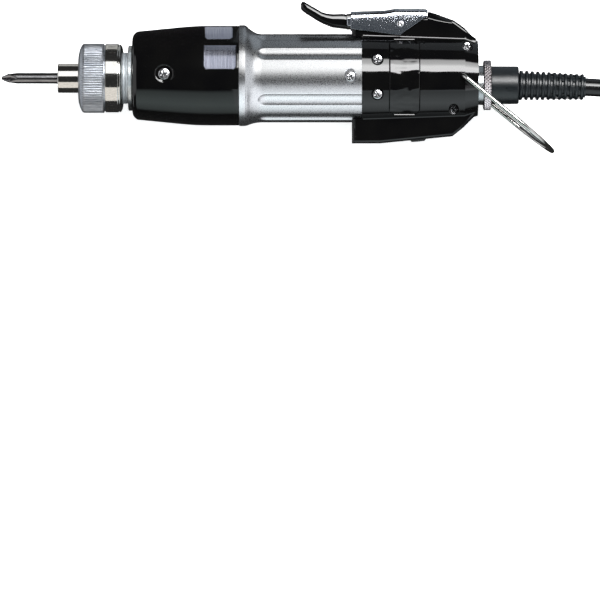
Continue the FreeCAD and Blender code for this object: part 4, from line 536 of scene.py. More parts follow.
def true_shading(piece, radius_at, chosen, flat_from):
    """Shade the chosen round faces of a piece as the turned wall they were cut from, and its flat faces that are
    larger than so many square millimetres as flat, whatever the triangles."""
    seen = bpy.context.evaluated_depsgraph_get()
    mesh = bpy.data.meshes.new_from_object(piece.evaluated_get(seen))
    normals = [corner.vector.copy() for corner in mesh.corner_normals]
    for face in mesh.polygons:
        spots = [mesh.vertices[index].co for index in face.vertices]
        on_wall = all(abs(math.hypot(spot.y, spot.z) / MM - radius_at(spot.x / MM)) < 0.04 for spot in spots)
        outward = face.normal.dot(Vector((0, face.center.y, face.center.z))) > 0
        squared = max(abs(part) for part in face.normal) > 0.9995
        if on_wall and outward and chosen(face.center):
            middle = face.center.x / MM
            lean = (radius_at(middle - 0.01) - radius_at(middle + 0.01)) / 0.02
            for corner, spot in zip(face.loop_indices, spots):
                normals[corner] = Vector((lean * math.hypot(spot.y, spot.z), spot.y, spot.z)).normalized()
        elif flat_from and (squared or face.area > flat_from * MM * MM):
            for corner in face.loop_indices:
                normals[corner] = face.normal.copy()
    mesh.normals_split_custom_set(normals)
    piece.modifiers.clear()
    piece.data = mesh
    return piece


grip_profile = [(83.3, GRIP_BORE), (83.3, 22.9)]
grip_profile += [(x, FLANGE_RADIUS) for x in (83.5, 84.5, 86.2)] + [(FLARE_FROM, 23.0)]
grip_profile += [(FLARE_FROM + 0.5 * step, GRIP_RADIUS) for step in range(1, 22)]
grip_profile += [(97 + 3.0 * step, GRIP_RADIUS) for step in range(1, 14)]
grip_profile += [(139.2, GRIP_RADIUS), (139.5, GRIP_RADIUS), (139.58, 20.2), (139.58, GRIP_BORE)]
grip = turned("grip_tube.fluted", grip_profile, 480, shape=fluted, closed=True)
for side in (1, -1):
    seat = turned("seat", [(SCREW_SEAT, 0), (SCREW_SEAT, 2.3), (19.7, 2.65), (26, 2.7), (26, 0)], 64)
    upright(seat, 0, 0)
    seat.data.transform(Matrix.Diagonal((1, 3.8 / 2.7, side, 1)))
    seat.data.transform(Matrix.Translation((GRIP_SCREW * MM, 0, 0)))
    smoothed(seat)
    cut_out(grip, seat)
smoothed(grip, 28)
true_shading(grip, lambda x: GRIP_RADIUS, lambda spot: spot.x > 0.125 and abs(spot.y) < 0.0052, None)
# Satin aluminium: cool light grey with a soft sheen, fine turning lines and a sparkle of tiny pits.
satin_aluminium = new_material("Aluminium, turned and satin finished", "#d3d5d8", 0.25)
add_pattern(satin_aluminium, 0.55, tint=("#c2c5c9", "#e0e2e5"), gloss=(0.24, 0.36), bump=0.012)
add_pattern(satin_aluminium, 0.5, (0.5, 40, 40), bump=0.01)
fit(grip, satin_aluminium, "housing", "grip_aluminium", "grip_tube")


# Rear housing: the black barrel behind the grip, with a rail above for the lever and one below for the switch.
# Two moulded ABS halves that meet on the middle plane, and a curved brush cover let into each side.
BARREL_FRONT = 139.6
BARREL_RADIUS = 20.6
BARREL_TAPER = 1.6 / 53.4
RAIL_HALF = 8.0
JOINT_FILLET = 0.9
END_TAPER_FROM = 186.8
END_TAPER = 1.7 / 6.2
LOWER_CORNER = (177, 181)
LOWER_SHIFT = Vector((2.7, 0.26, 0))
UPPER_CORNER = (182, 185.5)
UPPER_SHIFT = Vector((-1.4, 0.5, 0))


def barrel_radius(x):
    """The barrel's radius, which falls towards the back and faster at its end."""
    return BARREL_RADIUS - (x - BARREL_FRONT) * BARREL_TAPER - max(0.0, x - END_TAPER_FROM) * END_TAPER


def block(name, size, place):
    """A box of a size at a place, both in millimetres, as stock to cut with or to round off."""
    shape = bmesh.new()
    bmesh.ops.create_cube(shape, size=MM)
    bmesh.ops.scale(shape, vec=size, verts=shape.verts)
    bmesh.ops.translate(shape, vec=[part * MM for part in place], verts=shape.verts)
    return formed(name, shape)


def drawn_in(node, name):
    """A new piece with the shape of a housing half, drawn in at its back end, with both rails' back corners
    shifted and room for the ridge behind the lever."""
    shape = bmesh.new()
    shape.from_mesh(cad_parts[node].data)
    bmesh.ops.remove_doubles(shape, verts=shape.verts, dist=1e-6)
    for point in shape.verts:
        x, y = point.co.x / MM, point.co.y / MM
        if y < -22 and LOWER_CORNER[0] < x < LOWER_CORNER[1]:
            point.co += LOWER_SHIFT * MM
        if y > 22 and UPPER_CORNER[0] < x < UPPER_CORNER[1]:
            point.co += UPPER_SHIFT * MM
    everything = list(shape.verts) + list(shape.edges) + list(shape.faces)
    bmesh.ops.bisect_plane(shape, geom=everything, plane_co=(END_TAPER_FROM * MM, 0, 0), plane_no=(1, 0, 0))
    for point in shape.verts:
        x = point.co.x / MM
        if x <= END_TAPER_FROM + 0.01:
            continue
        radius = math.hypot(point.co.y, point.co.z) / MM
        plain = BARREL_RADIUS - (x - BARREL_FRONT) * BARREL_TAPER
        if abs(radius - plain) < 0.25 or (x > 192 and radius > barrel_radius(x)):
            point.co.y *= barrel_radius(x) / radius
            point.co.z *= barrel_radius(x) / radius
    piece = smoothed(cut_out(formed(name, shape), block("room", (9.2, 9.5, 18), (176.4, 27.25, 0))), 24)
    piece.modifiers.clear()
    return true_shading(piece, barrel_radius, lambda spot: True, 1.5)


def lofted(name, rings):
    """A closed piece through rings of points in millimetres, each with the same count of points."""
    shape = bmesh.new()
    loops = [[shape.verts.new(Vector(point) * MM) for point in ring] for ring in rings]
    for front, back in zip(loops, loops[1:]):
        for step in range(len(front)):
            after = (step + 1) % len(front)
            shape.faces.new((front[step], front[after], back[after], back[step]))
    shape.faces.new(loops[0])
    shape.faces.new(loops[-1])
    return formed(name, shape)


def merged(name, parts):
    """Several pieces as one."""
    whole = bmesh.new()
    for part in parts:
        whole.from_mesh(part.data)
        bpy.data.objects.remove(part)
    return formed(name, whole)


def rail_root(x, up, out):
    """The rounded inner corner where a rail grows out of the barrel, as a ring of points at one X."""
    radius = barrel_radius(x)
    far = radius + JOINT_FILLET
    middle_y = math.sqrt(far**2 - (RAIL_HALF + JOINT_FILLET) ** 2)
    start = -math.pi / 2
    stop = math.atan2(-(RAIL_HALF + JOINT_FILLET), -middle_y)
    ring = []
    for step in range(7):
        angle = start + (stop - start) * step / 6
        y = middle_y + JOINT_FILLET * math.cos(angle)
        z = RAIL_HALF + JOINT_FILLET + JOINT_FILLET * math.sin(angle)
        ring.append((x, up * y, out * z))
    ring.append((x, up * (middle_y - 1.6), out * (RAIL_HALF - 0.4)))
    return ring


ROOT_STATIONS = (140.2, 150, 160, 170, 180, END_TAPER_FROM, 191.5)
roots = []
for up, out in ((1, 1), (1, -1), (-1, 1), (-1, -1)):
    roots.append(lofted("root", [rail_root(x, up, out) for x in ROOT_STATIONS]))
RIDGE_STATIONS = [
    (166.5, 27.45, 0.7, 0.5), (169.8, 27.5, 0.7, 0.5), (169.95, 29.8, 2.6, 2.0), (170.3, 30.35, 3.0, 2.2),
    (173.6, 29.35, 2.9, 2.2), (178.0, 27.75, 2.2, 1.8), (181.02, 26.65, 1.5, 1.4),
]


def ridge_ring(x, top, drop, inset):
    """The raised end of the upper rail behind the lever, with a chamfer that narrows towards the back."""
    half = RAIL_HALF + 0.02
    side = [(x, 22.5, half), (x, top - drop - 0.35, half), (x, top - drop, half - 0.05)]
    slope = 0.3 * inset / drop
    side += [(x, top - drop + 0.3, half - 0.05 - slope), (x, top - 0.3, half - inset + slope)]
    side += [(x, top - 0.06, half - inset - 0.05), (x, top, half - inset - 0.4)]
    return side + [(x, y, -z) for x, y, z in reversed(side)]


roots.append(lofted("ridge", [ridge_ring(*station) for station in RIDGE_STATIONS]))
rail_roots = smoothed(merged("rear_housing.rail_roots", roots), 40)
fit(rail_roots, gloss_abs, "housing", "black_plastic")
for node in ("rear_housing_right", "rear_housing_left"):
    fit(drawn_in(node, node + ".gloss"), gloss_abs, "housing", "black_plastic", node)
# Wavy ABS: the same gloss on the thin covers, whose walls sank a little as they cooled.
wavy_abs = new_material("ABS, thin moulding with a high gloss", "#070708", 0.06, 1.54)
add_pattern(wavy_abs, 5.0, (1.6, 1, 1), tint=("#050506", "#080808"), gloss=(0.045, 0.085), bump=0.5, detail=1)
COVER_SPAN = (152.05, 166.15)
COVER_ANGLE = 56.3
LIP_WIDE = 0.45
LIP_LEAN = math.tan(math.radians(15))
LIP_PLACES = ((1, 17.2), (-1, -16.85))
SLIT_SPAN = (154.4, 163.8)
for out, node in ((1, "brush_cover_right"), (-1, "brush_cover_left")):
    cover = panel(node + ".panel", barrel_radius, 0, COVER_SPAN, -COVER_ANGLE, COVER_ANGLE, 2.4, 0.32, 0.3, 1.2)
    cover.data.transform(Matrix.Rotation(0 if out > 0 else math.pi, 4, "X"))
    fit(cover, wavy_abs, "housing", "black_plastic", node)
    lips = []
    for up, first in LIP_PLACES:
        rings = []
        for x in SLIT_SPAN:
            last = first + up * LIP_WIDE
            level = math.sqrt(barrel_radius(x) ** 2 - first**2) + 0.02
            edge = level - up * LIP_WIDE * LIP_LEAN
            ring = [(first, level - 1.2), (first, level), (last, edge), (last + up * 0.1, edge - 1.6)]
            rings.append([(x, y, out * z) for y, z in ring])
        lips.append(lofted("lip", rings))
    lip = eased(merged(node + ".pry_lips", lips), 0.08, 2)
    fit(lip, gloss_abs, "housing", "black_plastic")


# Screws: eight short pan heads for the nose, grip and brush holder, and two long ones in the housing.
# Cold headed steel with a cross recess, zinc plated bright. They clamp the case, the grip and the halves.
def pan_head(side, spot, seat, turn, wide):
    """The visible head of a cross-recess screw on its seat, on the +Z or the -Z side, with its cross turned."""
    profile = [(0, 0), (0, wide - 0.1), (0.12, wide), (0.5, wide), (0.68, wide - 0.1), (0.82, wide - 0.35)]
    profile += [(0.96, wide * 0.6), (1.05, wide * 0.3), (1.08, 0)]
    head = smoothed(turned("head", profile, 40))
    upright(head, 0, 0)
    for quarter in (0, 90):
        shape = bmesh.new()
        bmesh.ops.create_cube(shape, size=MM)
        bmesh.ops.scale(shape, vec=(1.7 * wide, 1.15, 1.7), verts=shape.verts)
        for corner in shape.verts:
            if corner.co.z < 0:
                corner.co.x *= 0.4
                corner.co.y *= 0.2
        bmesh.ops.translate(shape, vec=(0, 0, 1.1 * MM), verts=shape.verts)
        bmesh.ops.rotate(shape, matrix=Matrix.Rotation(math.radians(quarter + turn), 3, "Z"), verts=shape.verts)
        # The cutter's faces take the second material slot, so the cross recess gets the darker steel as painted
        # shade.
        for face in shape.faces:
            face.material_index = 1
        cut_out(head, formed("slot", shape))
    head.data.transform(Matrix.Translation(Vector((0, 0, seat)) * MM))
    if side < 0:
        head.data.transform(Matrix.Rotation(math.pi, 4, "X"))
    head.data.transform(Matrix.Translation(Vector((spot[0], spot[1], 0)) * MM))
    return head


# Bright zinc: silver white, with a soft sheen that gathers light from a wide angle.
bright_zinc = new_material("Steel, cold headed and bright zinc plated", "#e3e3e6", 0.24)
add_pattern(bright_zinc, 0.6, tint=("#d8d8dc", "#ededf0"), gloss=(0.18, 0.3), bump=0.008)
SHORT_SCREWS = [
    ((NOSE_SCREW, CASE_RISE), SCREW_SEAT, 15, 2.7), ((GRIP_SCREW, 0), SCREW_SEAT, 35, 2.3),
    ((146.7, 7.9), 17.22, 60, 2.3), ((146.7, -7.9), 17.22, 25, 2.3),
]
LONG_SCREWS = [((188, 14.4), 7.5, 10, 2.3), ((181.7, -14.6), 7.5, 50, 2.3)]
for node, sides, screws in (("short_screws", (1, -1), SHORT_SCREWS), ("case_screws", (1,), LONG_SCREWS)):
    heads = [pan_head(side, *screw) for side in sides for screw in screws]
    heads = smoothed(merged(node + ".heads", heads), 35)
    fit(heads, bright_zinc, "housing", "polished_steel", node)
    # The second slot is the darker ground steel: painted shade on the walls of the cross recesses.
    heads.data.materials.append(ground_steel_and_recess_shade)


# Start lever: a folded metal channel that tips on a riveted pin, with a black finger piece in its front.
# Stamped sheet steel, chrome plated. The finger piece is moulded ABS, pushed into the channel.
LEVER_HALF = 9.6
LEVER_SHEET = 1.2
LEVER_BEND = 3.0
RIVET_SPOT = Vector((157.3, 24.5, 0))
LEVER_STATIONS = [
    (134.6, 22.3, 30.3), (150.1, 20.25, 30.8), (154.6, 19.66, 31.6), (157.0, 19.4, 31.6), (166.6, 26.1, 31.6),
    (168.6, 27.5, 31.5), (169.8, 27.9, 31.1),
]


def channel_ring(x, low, top):
    """The folded channel's section at one X: cheek, bend, web, bend and cheek, outside and then inside."""
    ring = []
    for half, up, bend in ((LEVER_HALF, top, LEVER_BEND), (LEVER_HALF - LEVER_SHEET, top - LEVER_SHEET, 1.8)):
        side = [(x, low, half), (x, up - bend, half)]
        for step in range(1, 7):
            angle = math.radians(15 * step)
            side.append((x, up - bend * (1 - math.sin(angle)), half - bend * (1 - math.cos(angle))))
        whole = side + [(x, y, -z) for x, y, z in reversed(side)]
        ring += whole if not ring else list(reversed(whole))
    return ring


lever = lofted("start_lever.channel", [channel_ring(*station) for station in LEVER_STATIONS])
eased(lever, 0.35, 3, 50)
# Chrome plate: a bright cool mirror with the pebbled grain of the stamped sheet under it.
chrome_plate = new_material("Sheet steel, stamped and chrome plated", "#d9dce1", 0.09)
add_pattern(chrome_plate, 0.6, tint=("#aab1bd", "#dfe2e8"), gloss=(0.06, 0.12), bump=0.034, detail=3)
fit(lever, chrome_plate, "start_lever", "polished_steel", "start_lever")
ears = [block("ear", (2.4, 3.8, 1.1), (134.0, 25.6, out * 8.95)) for out in (1, -1)]
finger_ears = eased(merged("start_lever.ears", ears), 0.5, 4)
fit(finger_ears, chrome_plate, "start_lever", "polished_steel")
rivets = []
for out in (1, -1):
    head = turned("rivet", [
        (9.62, 0), (9.62, 1.6), (9.85, 1.6), (10.05, 1.45), (10.2, 1.1), (10.3, 0.6), (10.2, 0.4), (10.17, 0),
    ], 40)
    upright(head, 0, 0)
    head.data.transform(Matrix.Diagonal((1, 1, out, 1)))
    head.data.transform(Matrix.Translation(RIVET_SPOT * MM))
    rivets.append(head)
rivet = smoothed(merged("lever_pin.heads", rivets), 40)
fit(rivet, bright_zinc, "housing", "polished_steel", "lever_pin")
PAD_BOW = 0.6
PAD_ROUND = 0.7
FINGER_STATIONS = [
    (111.65, 33.9, 111.65, 32.7, 4.6), (112.1, 34.8, 111.9, 31.7, 5.9), (113.2, 34.95, 112.7, 30.9, 6.5),
    (115.5, 33.6, 114.6, 29.6, 6.6), (118.5, 31.85, 117.4, 27.85, 6.6), (121.4, 30.15, 120.3, 26.05, 6.6),
    (123.6, 29.5, 123.0, 24.8, 6.6), (126.2, 29.2, 126.0, 23.65, 6.6), (128.6, 29.3, 128.5, 23.3, 6.6),
    (131.1, 29.35, 131.1, 23.0, 6.6), (132.6, 29.0, 132.6, 22.85, 6.6), (132.75, 29.3, 132.75, 22.75, 8.3),
    (134.7, 29.3, 134.7, 22.75, 8.3),
]


def pad_ring(top_x, top_y, low_x, low_y, half):
    """A section of the finger piece between a top and a bottom point: flat above and below, with bowed sides
    whose edges are rounded off."""
    top = Vector((top_x, top_y, 0))
    low = Vector((low_x, low_y, 0))
    levels = (-1, -0.95, -0.88, -0.78, -0.6, -0.4, -0.2, 0, 0.2, 0.4, 0.6, 0.78, 0.88, 0.95, 1)
    side = [(level, half - PAD_BOW * level ** 2 - PAD_ROUND * level ** 8) for level in levels]
    whole = side + [(level, -out) for level, out in reversed(side)]
    return [(top + low) / 2 + (top - low) / 2 * level + Vector((0, 0, out)) for level, out in whole]


finger = smoothed(lofted("finger_piece.gloss", [pad_ring(*station) for station in FINGER_STATIONS]), 45)
fit(finger, gloss_abs, "start_lever", "black_plastic", "finger_piece")
dress(matt_nylon, "switch_plunger", "start_switch")


# Direction switch: a small rounded knob in a slot of the lower rail, on a slide switch inside.
# Moulded nylon. It slides along the rail to turn the motor the other way.
dress(matt_nylon, "direction_switch")
KNOB_LEAN = math.atan2(3.0, 30.8)
KNOB_MIDDLE = Vector((165.6, -28.1, 0))


def knob_ring(along, half_long, half_wide):
    """A level of the knob: a box with round corners, so far out from the rail's face."""
    ring = []
    bend = 0.9
    for quarter in range(4):
        out_x = (half_long - bend) * (1 if quarter in (0, 3) else -1)
        out_z = (half_wide - bend) * (1 if quarter in (0, 1) else -1)
        for step in range(5):
            angle = math.radians(90 * quarter + 22.5 * step)
            ring.append((out_x + bend * math.cos(angle), -along, out_z + bend * math.sin(angle)))
    return ring


knob_levels = [
    (-4.0, 3.6, 2.65), (-0.2, 3.6, 2.65), (0.4, 3.5, 2.6), (0.75, 3.2, 2.4), (0.95, 2.7, 2.0), (1.02, 1.6, 1.3),
]
knob = lofted("direction_knob.cap", [knob_ring(*level) for level in knob_levels])
knob.data.transform(Matrix.Translation(KNOB_MIDDLE * MM) @ Matrix.Rotation(KNOB_LEAN, 4, "Z"))
smoothed(knob, 50)
fit(knob, matt_nylon, "direction_knob", "black_plastic", "direction_knob")


# Circuit board: a small board in the back of the housing that feeds the motor.
# Glass-filled laminate under a green solder mask.
# Solder mask: deep green and glossy, with the unevenness of the laminate faintly under it.
solder_mask = new_material("Laminate, solder masked", "#17472b", 0.3, 1.55)
add_pattern(solder_mask, 0.8, tint=("#133d25", "#1c5433"), gloss=(0.24, 0.38), bump=0.01)
dress(solder_mask, "circuit_board")


# Cord socket, coupling ring, boot and strain relief: the plug end of the cord on the housing's back.
# A knurled, plated ring screws the moulded soft PVC boot to the socket, and the ribs let the cord bend.
SOCKET_DROP = -3.2
RING_FRONT = 195.6
RING_EDGE = 11.15
DIAMOND_LONG = 1.6
DIAMOND_DEEP = 0.4
DIAMONDS_ROUND = 22
dress(zinc_plate, "cord_socket")
stub_profile = [(193.0, 7.4), (193.0, 9.1), (195.5, 9.1), (195.5, 7.4)]
stub = turned("cord_socket.stub", stub_profile, 64, SOCKET_DROP, closed=True)
eased(stub, 0.3)
fit(stub, zinc_plate, "housing", "plated_steel")


def diamonds(x, angle, radius):
    """Diamond knurl: two sets of crossing grooves round the ring, drawn coarse enough for the points to show."""
    if radius <= RING_EDGE:
        return radius
    along = (x - RING_FRONT) / DIAMOND_LONG * math.pi
    around = DIAMONDS_ROUND * angle
    ridge = abs(math.sin(along + around)) + abs(math.sin(along - around))
    return radius - DIAMOND_DEEP * (1 - ridge / 2)


ring_profile = [(RING_FRONT, 8.05), (RING_FRONT, 10.9), (195.75, RING_EDGE)]
ring_profile += [(195.9 + 0.145 * step, 11.5) for step in range(21)]
ring_profile += [(198.95, RING_EDGE), (199.1, 10.9), (199.1, 8.05)]
coupling = turned("coupling_ring.knurled", ring_profile, 560, SOCKET_DROP, diamonds, True)
smoothed(coupling, 50)
# Satin nickel: a dull, faintly rosy plating with small bright specks on the points of the knurl.
satin_nickel = new_material("Steel, diamond knurled and nickel plated", "#c9c3c6", 0.3)
add_pattern(satin_nickel, 0.7, tint=("#bab3b7", "#dfd9dc"), gloss=(0.2, 0.32), bump=0.012)
fit(coupling, satin_nickel, "coupling_ring", "plated_steel", "coupling_ring")

# Satin PVC: soft black with a broad dull sheen and a faint grain.
satin_pvc = new_material("PVC, moulded with a satin skin", "#0e1215", 0.32, 1.53)
add_pattern(satin_pvc, 0.6, (3, 1, 1), tint=("#0b0f12", "#12171a"), gloss=(0.27, 0.38), bump=0.012)
boot = turned("plug_boot.satin", [
    (195.6, 8.0), (199.2, 8.0), (199.2, 8.7), (211.3, 8.7), (211.85, 8.2), (211.85, 4.2), (195.6, 4.2),
], 96, SOCKET_DROP, closed=True)
eased(boot, 0.3)
fit(boot, satin_pvc, "housing", "soft_black", "plug_boot")
RELIEF_START = Vector((211.99, SOCKET_DROP, 0))
RELIEF_DROOP = math.radians(-1.7)
RELIEF_BORE = 4.15
LANDS_ROUND = 8
RIB_COUNT = 12
RIB_STEP = 2.55
SOLID_RIBS = 5
RIB_FIRST = 6.85
RIB_FALL = 0.9
relief_profile = [(0, RELIEF_BORE)]
for rib in range(RIB_COUNT):
    crest = RIB_FIRST - RIB_FALL * rib / (RIB_COUNT - 1)
    start = rib * RIB_STEP
    valley = crest - 1.1
    relief_profile += [(start + 0.04, valley), (start + 0.1, crest - 0.5), (start + 0.3, crest - 0.14)]
    relief_profile += [(start + 0.62, crest), (start + 1.16, crest), (start + 1.48, crest - 0.14)]
    relief_profile += [(start + 1.68, crest - 0.5), (start + 1.74, valley)]
relief_profile += [(RIB_COUNT * RIB_STEP, 4.9), (RIB_COUNT * RIB_STEP, RELIEF_BORE)]


def slotted(x, angle, radius):
    """The rear ribs are joined by lands that change places from gap to gap, with slots between them."""
    rib = int((x - 1.0) / RIB_STEP)
    crest = RIB_FIRST - RIB_FALL * rib / (RIB_COUNT - 1)
    if rib < SOLID_RIBS or rib >= RIB_COUNT - 1 or radius > crest - 0.7 or radius <= RELIEF_BORE:
        return radius
    turn = math.sin(LANDS_ROUND * angle + (math.pi if rib % 2 else 0))
    return crest - 0.55 if turn > 0.2 else radius - 0.3


relief = turned("strain_relief.ribs", relief_profile, 192, shape=slotted, closed=True)
relief.data.transform(Matrix.Rotation(RELIEF_DROOP, 4, "Z"))
relief.data.transform(Matrix.Translation(RELIEF_START * MM))
smoothed(relief, 40)
fit(relief, satin_pvc, "housing", "soft_black", "strain_relief")


# Hanging bail: one round wire bent to a loop, whose ends spring into the housing's sides.
# Drawn steel wire, nickel plated. The tool hangs by it from a balancer's hook.
BAIL_PIVOT = Vector((185.8, 0.6, 0))
BAIL_HALF = 22.2
BAIL_LEG = 31.6
BAIL_BEND = 3.0
BAIL_WIRE = 2.0
BAIL_LEAN = math.radians(-39.4)
bail_points = [(0, 0, 18.2), (0, 0, BAIL_HALF - BAIL_BEND)]
for step in range(1, 7):
    angle = math.radians(15 * step)
    bail_points.append((BAIL_BEND * (1 - math.cos(angle)), 0, BAIL_HALF - BAIL_BEND * (1 - math.sin(angle))))
bail_points.append((BAIL_LEG, 0, BAIL_HALF))
for step in range(1, 25):
    angle = math.radians(90 - 180 * step / 24)
    bail_points.append((BAIL_LEG + BAIL_HALF * math.cos(angle), 0, BAIL_HALF * math.sin(angle)))
bail_points += [(x, y, -z) for x, y, z in reversed(bail_points[:8])]
swing = Matrix.Rotation(BAIL_LEAN, 3, "Z")


def round_wire(name, kind, points, radius, fineness):
    """A round wire along points in millimetres: a polyline, or a spline that runs near them."""
    curve = bpy.data.curves.new(name, "CURVE")
    curve.dimensions = "3D"
    curve.bevel_depth = radius * MM
    curve.bevel_resolution = fineness
    curve.use_fill_caps = True
    line = curve.splines.new(kind)
    line.points.add(len(points) - 1)
    for place, point in zip(line.points, points):
        place.co = (*(point * MM), 1)
    line.use_smooth = True
    return put(name, curve)


bail_line = [BAIL_PIVOT + swing @ Vector(point) for point in bail_points]
bail = round_wire("bail.wire", "POLY", bail_line, BAIL_WIRE / 2, 6)
fit(bail, polished_nickel, "bail", "polished_steel", "bail")


# Cord: a round lead that leaves the ribs, drops to the bench and is wound up beside the tool.
# Extruded PVC jacket, black and glossy. A strap holds the coil, and a round plug with pins ends it.
CORD_DIA = 8.2
LEAD_START = Vector((242.577, -4.108, 0))
LEAD = [
    (0, 0, 0), (10.0, -0.3, 0), (19.73, -2.62, 0.7), (28.79, -6.83, 2.0), (36.81, -12.81, 3.5), (43.46, -20.27, 4.9),
    (48.46, -28.93, 5.7),
]
TAIL_START = Vector((323.73, 29.53, -17.8))
TAIL = [(0, 0, 0), (-9.5, -0.83, 0), (-18.7, -3.3, 0.5), (-28.0, -5.0, 1.2), (-37.2, -5.8, 1.6)]
COIL_CENTRE = Vector((335.83, -16.62, 0))
COIL_START = 210
COIL_OUTER = 47.0
COIL_STEP = 8.9
LAYER_TURNS = 1.42
LAYERS = 4
LOW_LAYER = -17.8
START_DROP = 2.546
RAMP_TURNS = 0.2157
POINTS_PER_TURN = 24


def coil_point(turn):
    """A point of the coil after so many turns: layers that spiral in and out, from the top one down."""
    layer = min(LAYERS - 1, int(turn / LAYER_TURNS))
    part = turn - layer * LAYER_TURNS
    inward = part if layer % 2 == 0 else LAYER_TURNS - part
    height = LAYERS - 1
    for change in range(1, LAYERS):
        share = max(0.0, min(1.0, (turn - change * LAYER_TURNS) / 0.5 + 0.5))
        height -= share * share * (3 - 2 * share)
    ramp = max(0.0, 1 - turn / RAMP_TURNS)
    angle = math.radians(COIL_START) + math.tau * turn
    radius = COIL_OUTER - COIL_STEP * inward
    level = LOW_LAYER + COIL_STEP * height - START_DROP * ramp * ramp
    return COIL_CENTRE + Vector((radius * math.cos(angle), radius * math.sin(angle), level))


cord_points = [LEAD_START + Vector(offset) for offset in LEAD]
total_turns = LAYER_TURNS * LAYERS
coil_count = round(total_turns * POINTS_PER_TURN)
cord_points += [coil_point(total_turns * step / coil_count) for step in range(coil_count + 1)]
cord_points += [TAIL_START + Vector(offset) for offset in TAIL]
cord = round_wire("power_cord.jacket", "NURBS", cord_points, CORD_DIA / 2, 8)
cord.data.resolution_u = 6
cord.data.splines[0].order_u = 3
cord.data.splines[0].use_endpoint_u = True
# Gloss PVC: black with a wet-looking shine and a slight unevenness from the extruder.
gloss_pvc = new_material("PVC, extruded and glossy", "#0c0c0d", 0.16, 1.53)
add_pattern(gloss_pvc, 6.0, tint=("#0a0a0b", "#101011"), gloss=(0.12, 0.22), bump=0.02)
fit(cord, gloss_pvc, "housing", "cord_jacket", "power_cord", "cord_coil", "cord_tail")
STRAP_HALF = 3.5
STRAP_THICK = 0.8
tie_turns = [count - COIL_START / 360 for count in range(1, 7)]
tie_spots = [coil_point(turn) for turn in tie_turns if turn <= total_turns]


def wrap_point(angle, off):
    """A point of a line pulled tight round the cords where the strap is, so far off their skin."""
    towards = Vector((math.cos(angle), 0, math.sin(angle)))
    spot = max(tie_spots, key=towards.dot)
    return Vector((spot.x, COIL_CENTRE.y, spot.z)) + towards * (CORD_DIA / 2 + off)


def strap(name, start, stop, off, count):
    """A length of strap round the coil between two angles in degrees, so far off the cords."""
    rings = []
    for step in range(count + 1):
        angle = math.radians(start + (stop - start) * step / count)
        inner = wrap_point(angle, off)
        outer = wrap_point(angle, off + STRAP_THICK)
        across = Vector((0, STRAP_HALF, 0))
        rings.append([inner - across, outer - across, outer + across, inner + across])
    return lofted(name, rings)


tie = merged("cord_tie.strap", [strap("band", 30, 389, 0.25, 120), strap("end", 20, 118, 1.08, 40)])
eased(tie, 0.2, 2, 60)
# Woven nylon: dull black with ribs across the strap, half a millimetre wide, coarse enough to show.
woven_nylon = new_material("Nylon, woven strap", "#18181a", 0.7, 1.53)
add_pattern(woven_nylon, 0.5, (1, 3, 1), tint=("#111112", "#222225"), gloss=(0.6, 0.8), bump=0.12)
fit(tie, woven_nylon, "housing", "soft_black", "cord_tie")
dress(satin_pvc, "far_plug_body")
dress(polished_nickel, "far_plug_shell", "far_plug_pins")


# Setting: a plain white bench under a bright softbox on the lever's side, with a white card on the other side.
# Smaller cards are flagged, each for the pieces that need it, and two walls of light stand beyond the ends.
# A fill only lights matt surfaces, so that the gloss stays black between its reflections.
FLOOR = -23.2


def softbox(name, tint, near, far, start, stop, radiance, distance=1.0, falloff=None):
    """A rectangular light seen from the tool between two angles from the vertical towards +Y, and between two
    places along X. A falloff gives shares of the radiance from the near edge to the far one."""
    middle = math.radians((near + far) / 2)
    lamp = bpy.data.lights.new(name, "AREA")
    lamp.shape = "RECTANGLE"
    lamp.size = stop - start
    lamp.size_y = 2 * distance * math.tan(math.radians(abs(far - near) / 2))
    lamp.energy = radiance * math.pi * lamp.size * lamp.size_y
    lamp.color = tint
    if falloff:
        lamp.use_nodes = True
        glow = lamp.node_tree.nodes["Emission"]
        spot = add_node(lamp, "ShaderNodeNewGeometry").outputs["Parametric"]
        parts = add_node(lamp, "ShaderNodeSeparateXYZ", {"Vector": spot})
        ramp = add_node(lamp, "ShaderNodeValToRGB", {"Fac": parts.outputs["Y"]})
        while len(ramp.color_ramp.elements) < len(falloff):
            ramp.color_ramp.elements.new(0.5)
        for stop_place, (place, share) in zip(ramp.color_ramp.elements, falloff):
            stop_place.position = place
            stop_place.color = (share, share, share, 1)
        lamp.node_tree.links.new(ramp.outputs["Color"], glow.inputs["Color"])
    light = bpy.data.objects.new(name, lamp)
    light.location = ((start + stop) / 2, distance * math.sin(middle), distance * math.cos(middle))
    light.rotation_euler = (-middle, 0, 0)
    bpy.context.scene.collection.objects.link(light)
    return light


def flagged(light, state, *pieces):
    """Flag a light so that it reaches only some pieces (INCLUDE) or all but some (EXCLUDE)."""
    lit = bpy.data.collections.new(light.name)
    for piece in pieces:
        lit.objects.link(piece)
    for member in lit.collection_objects:
        member.light_linking.link_state = state
    light.light_linking.receiver_collection = lit


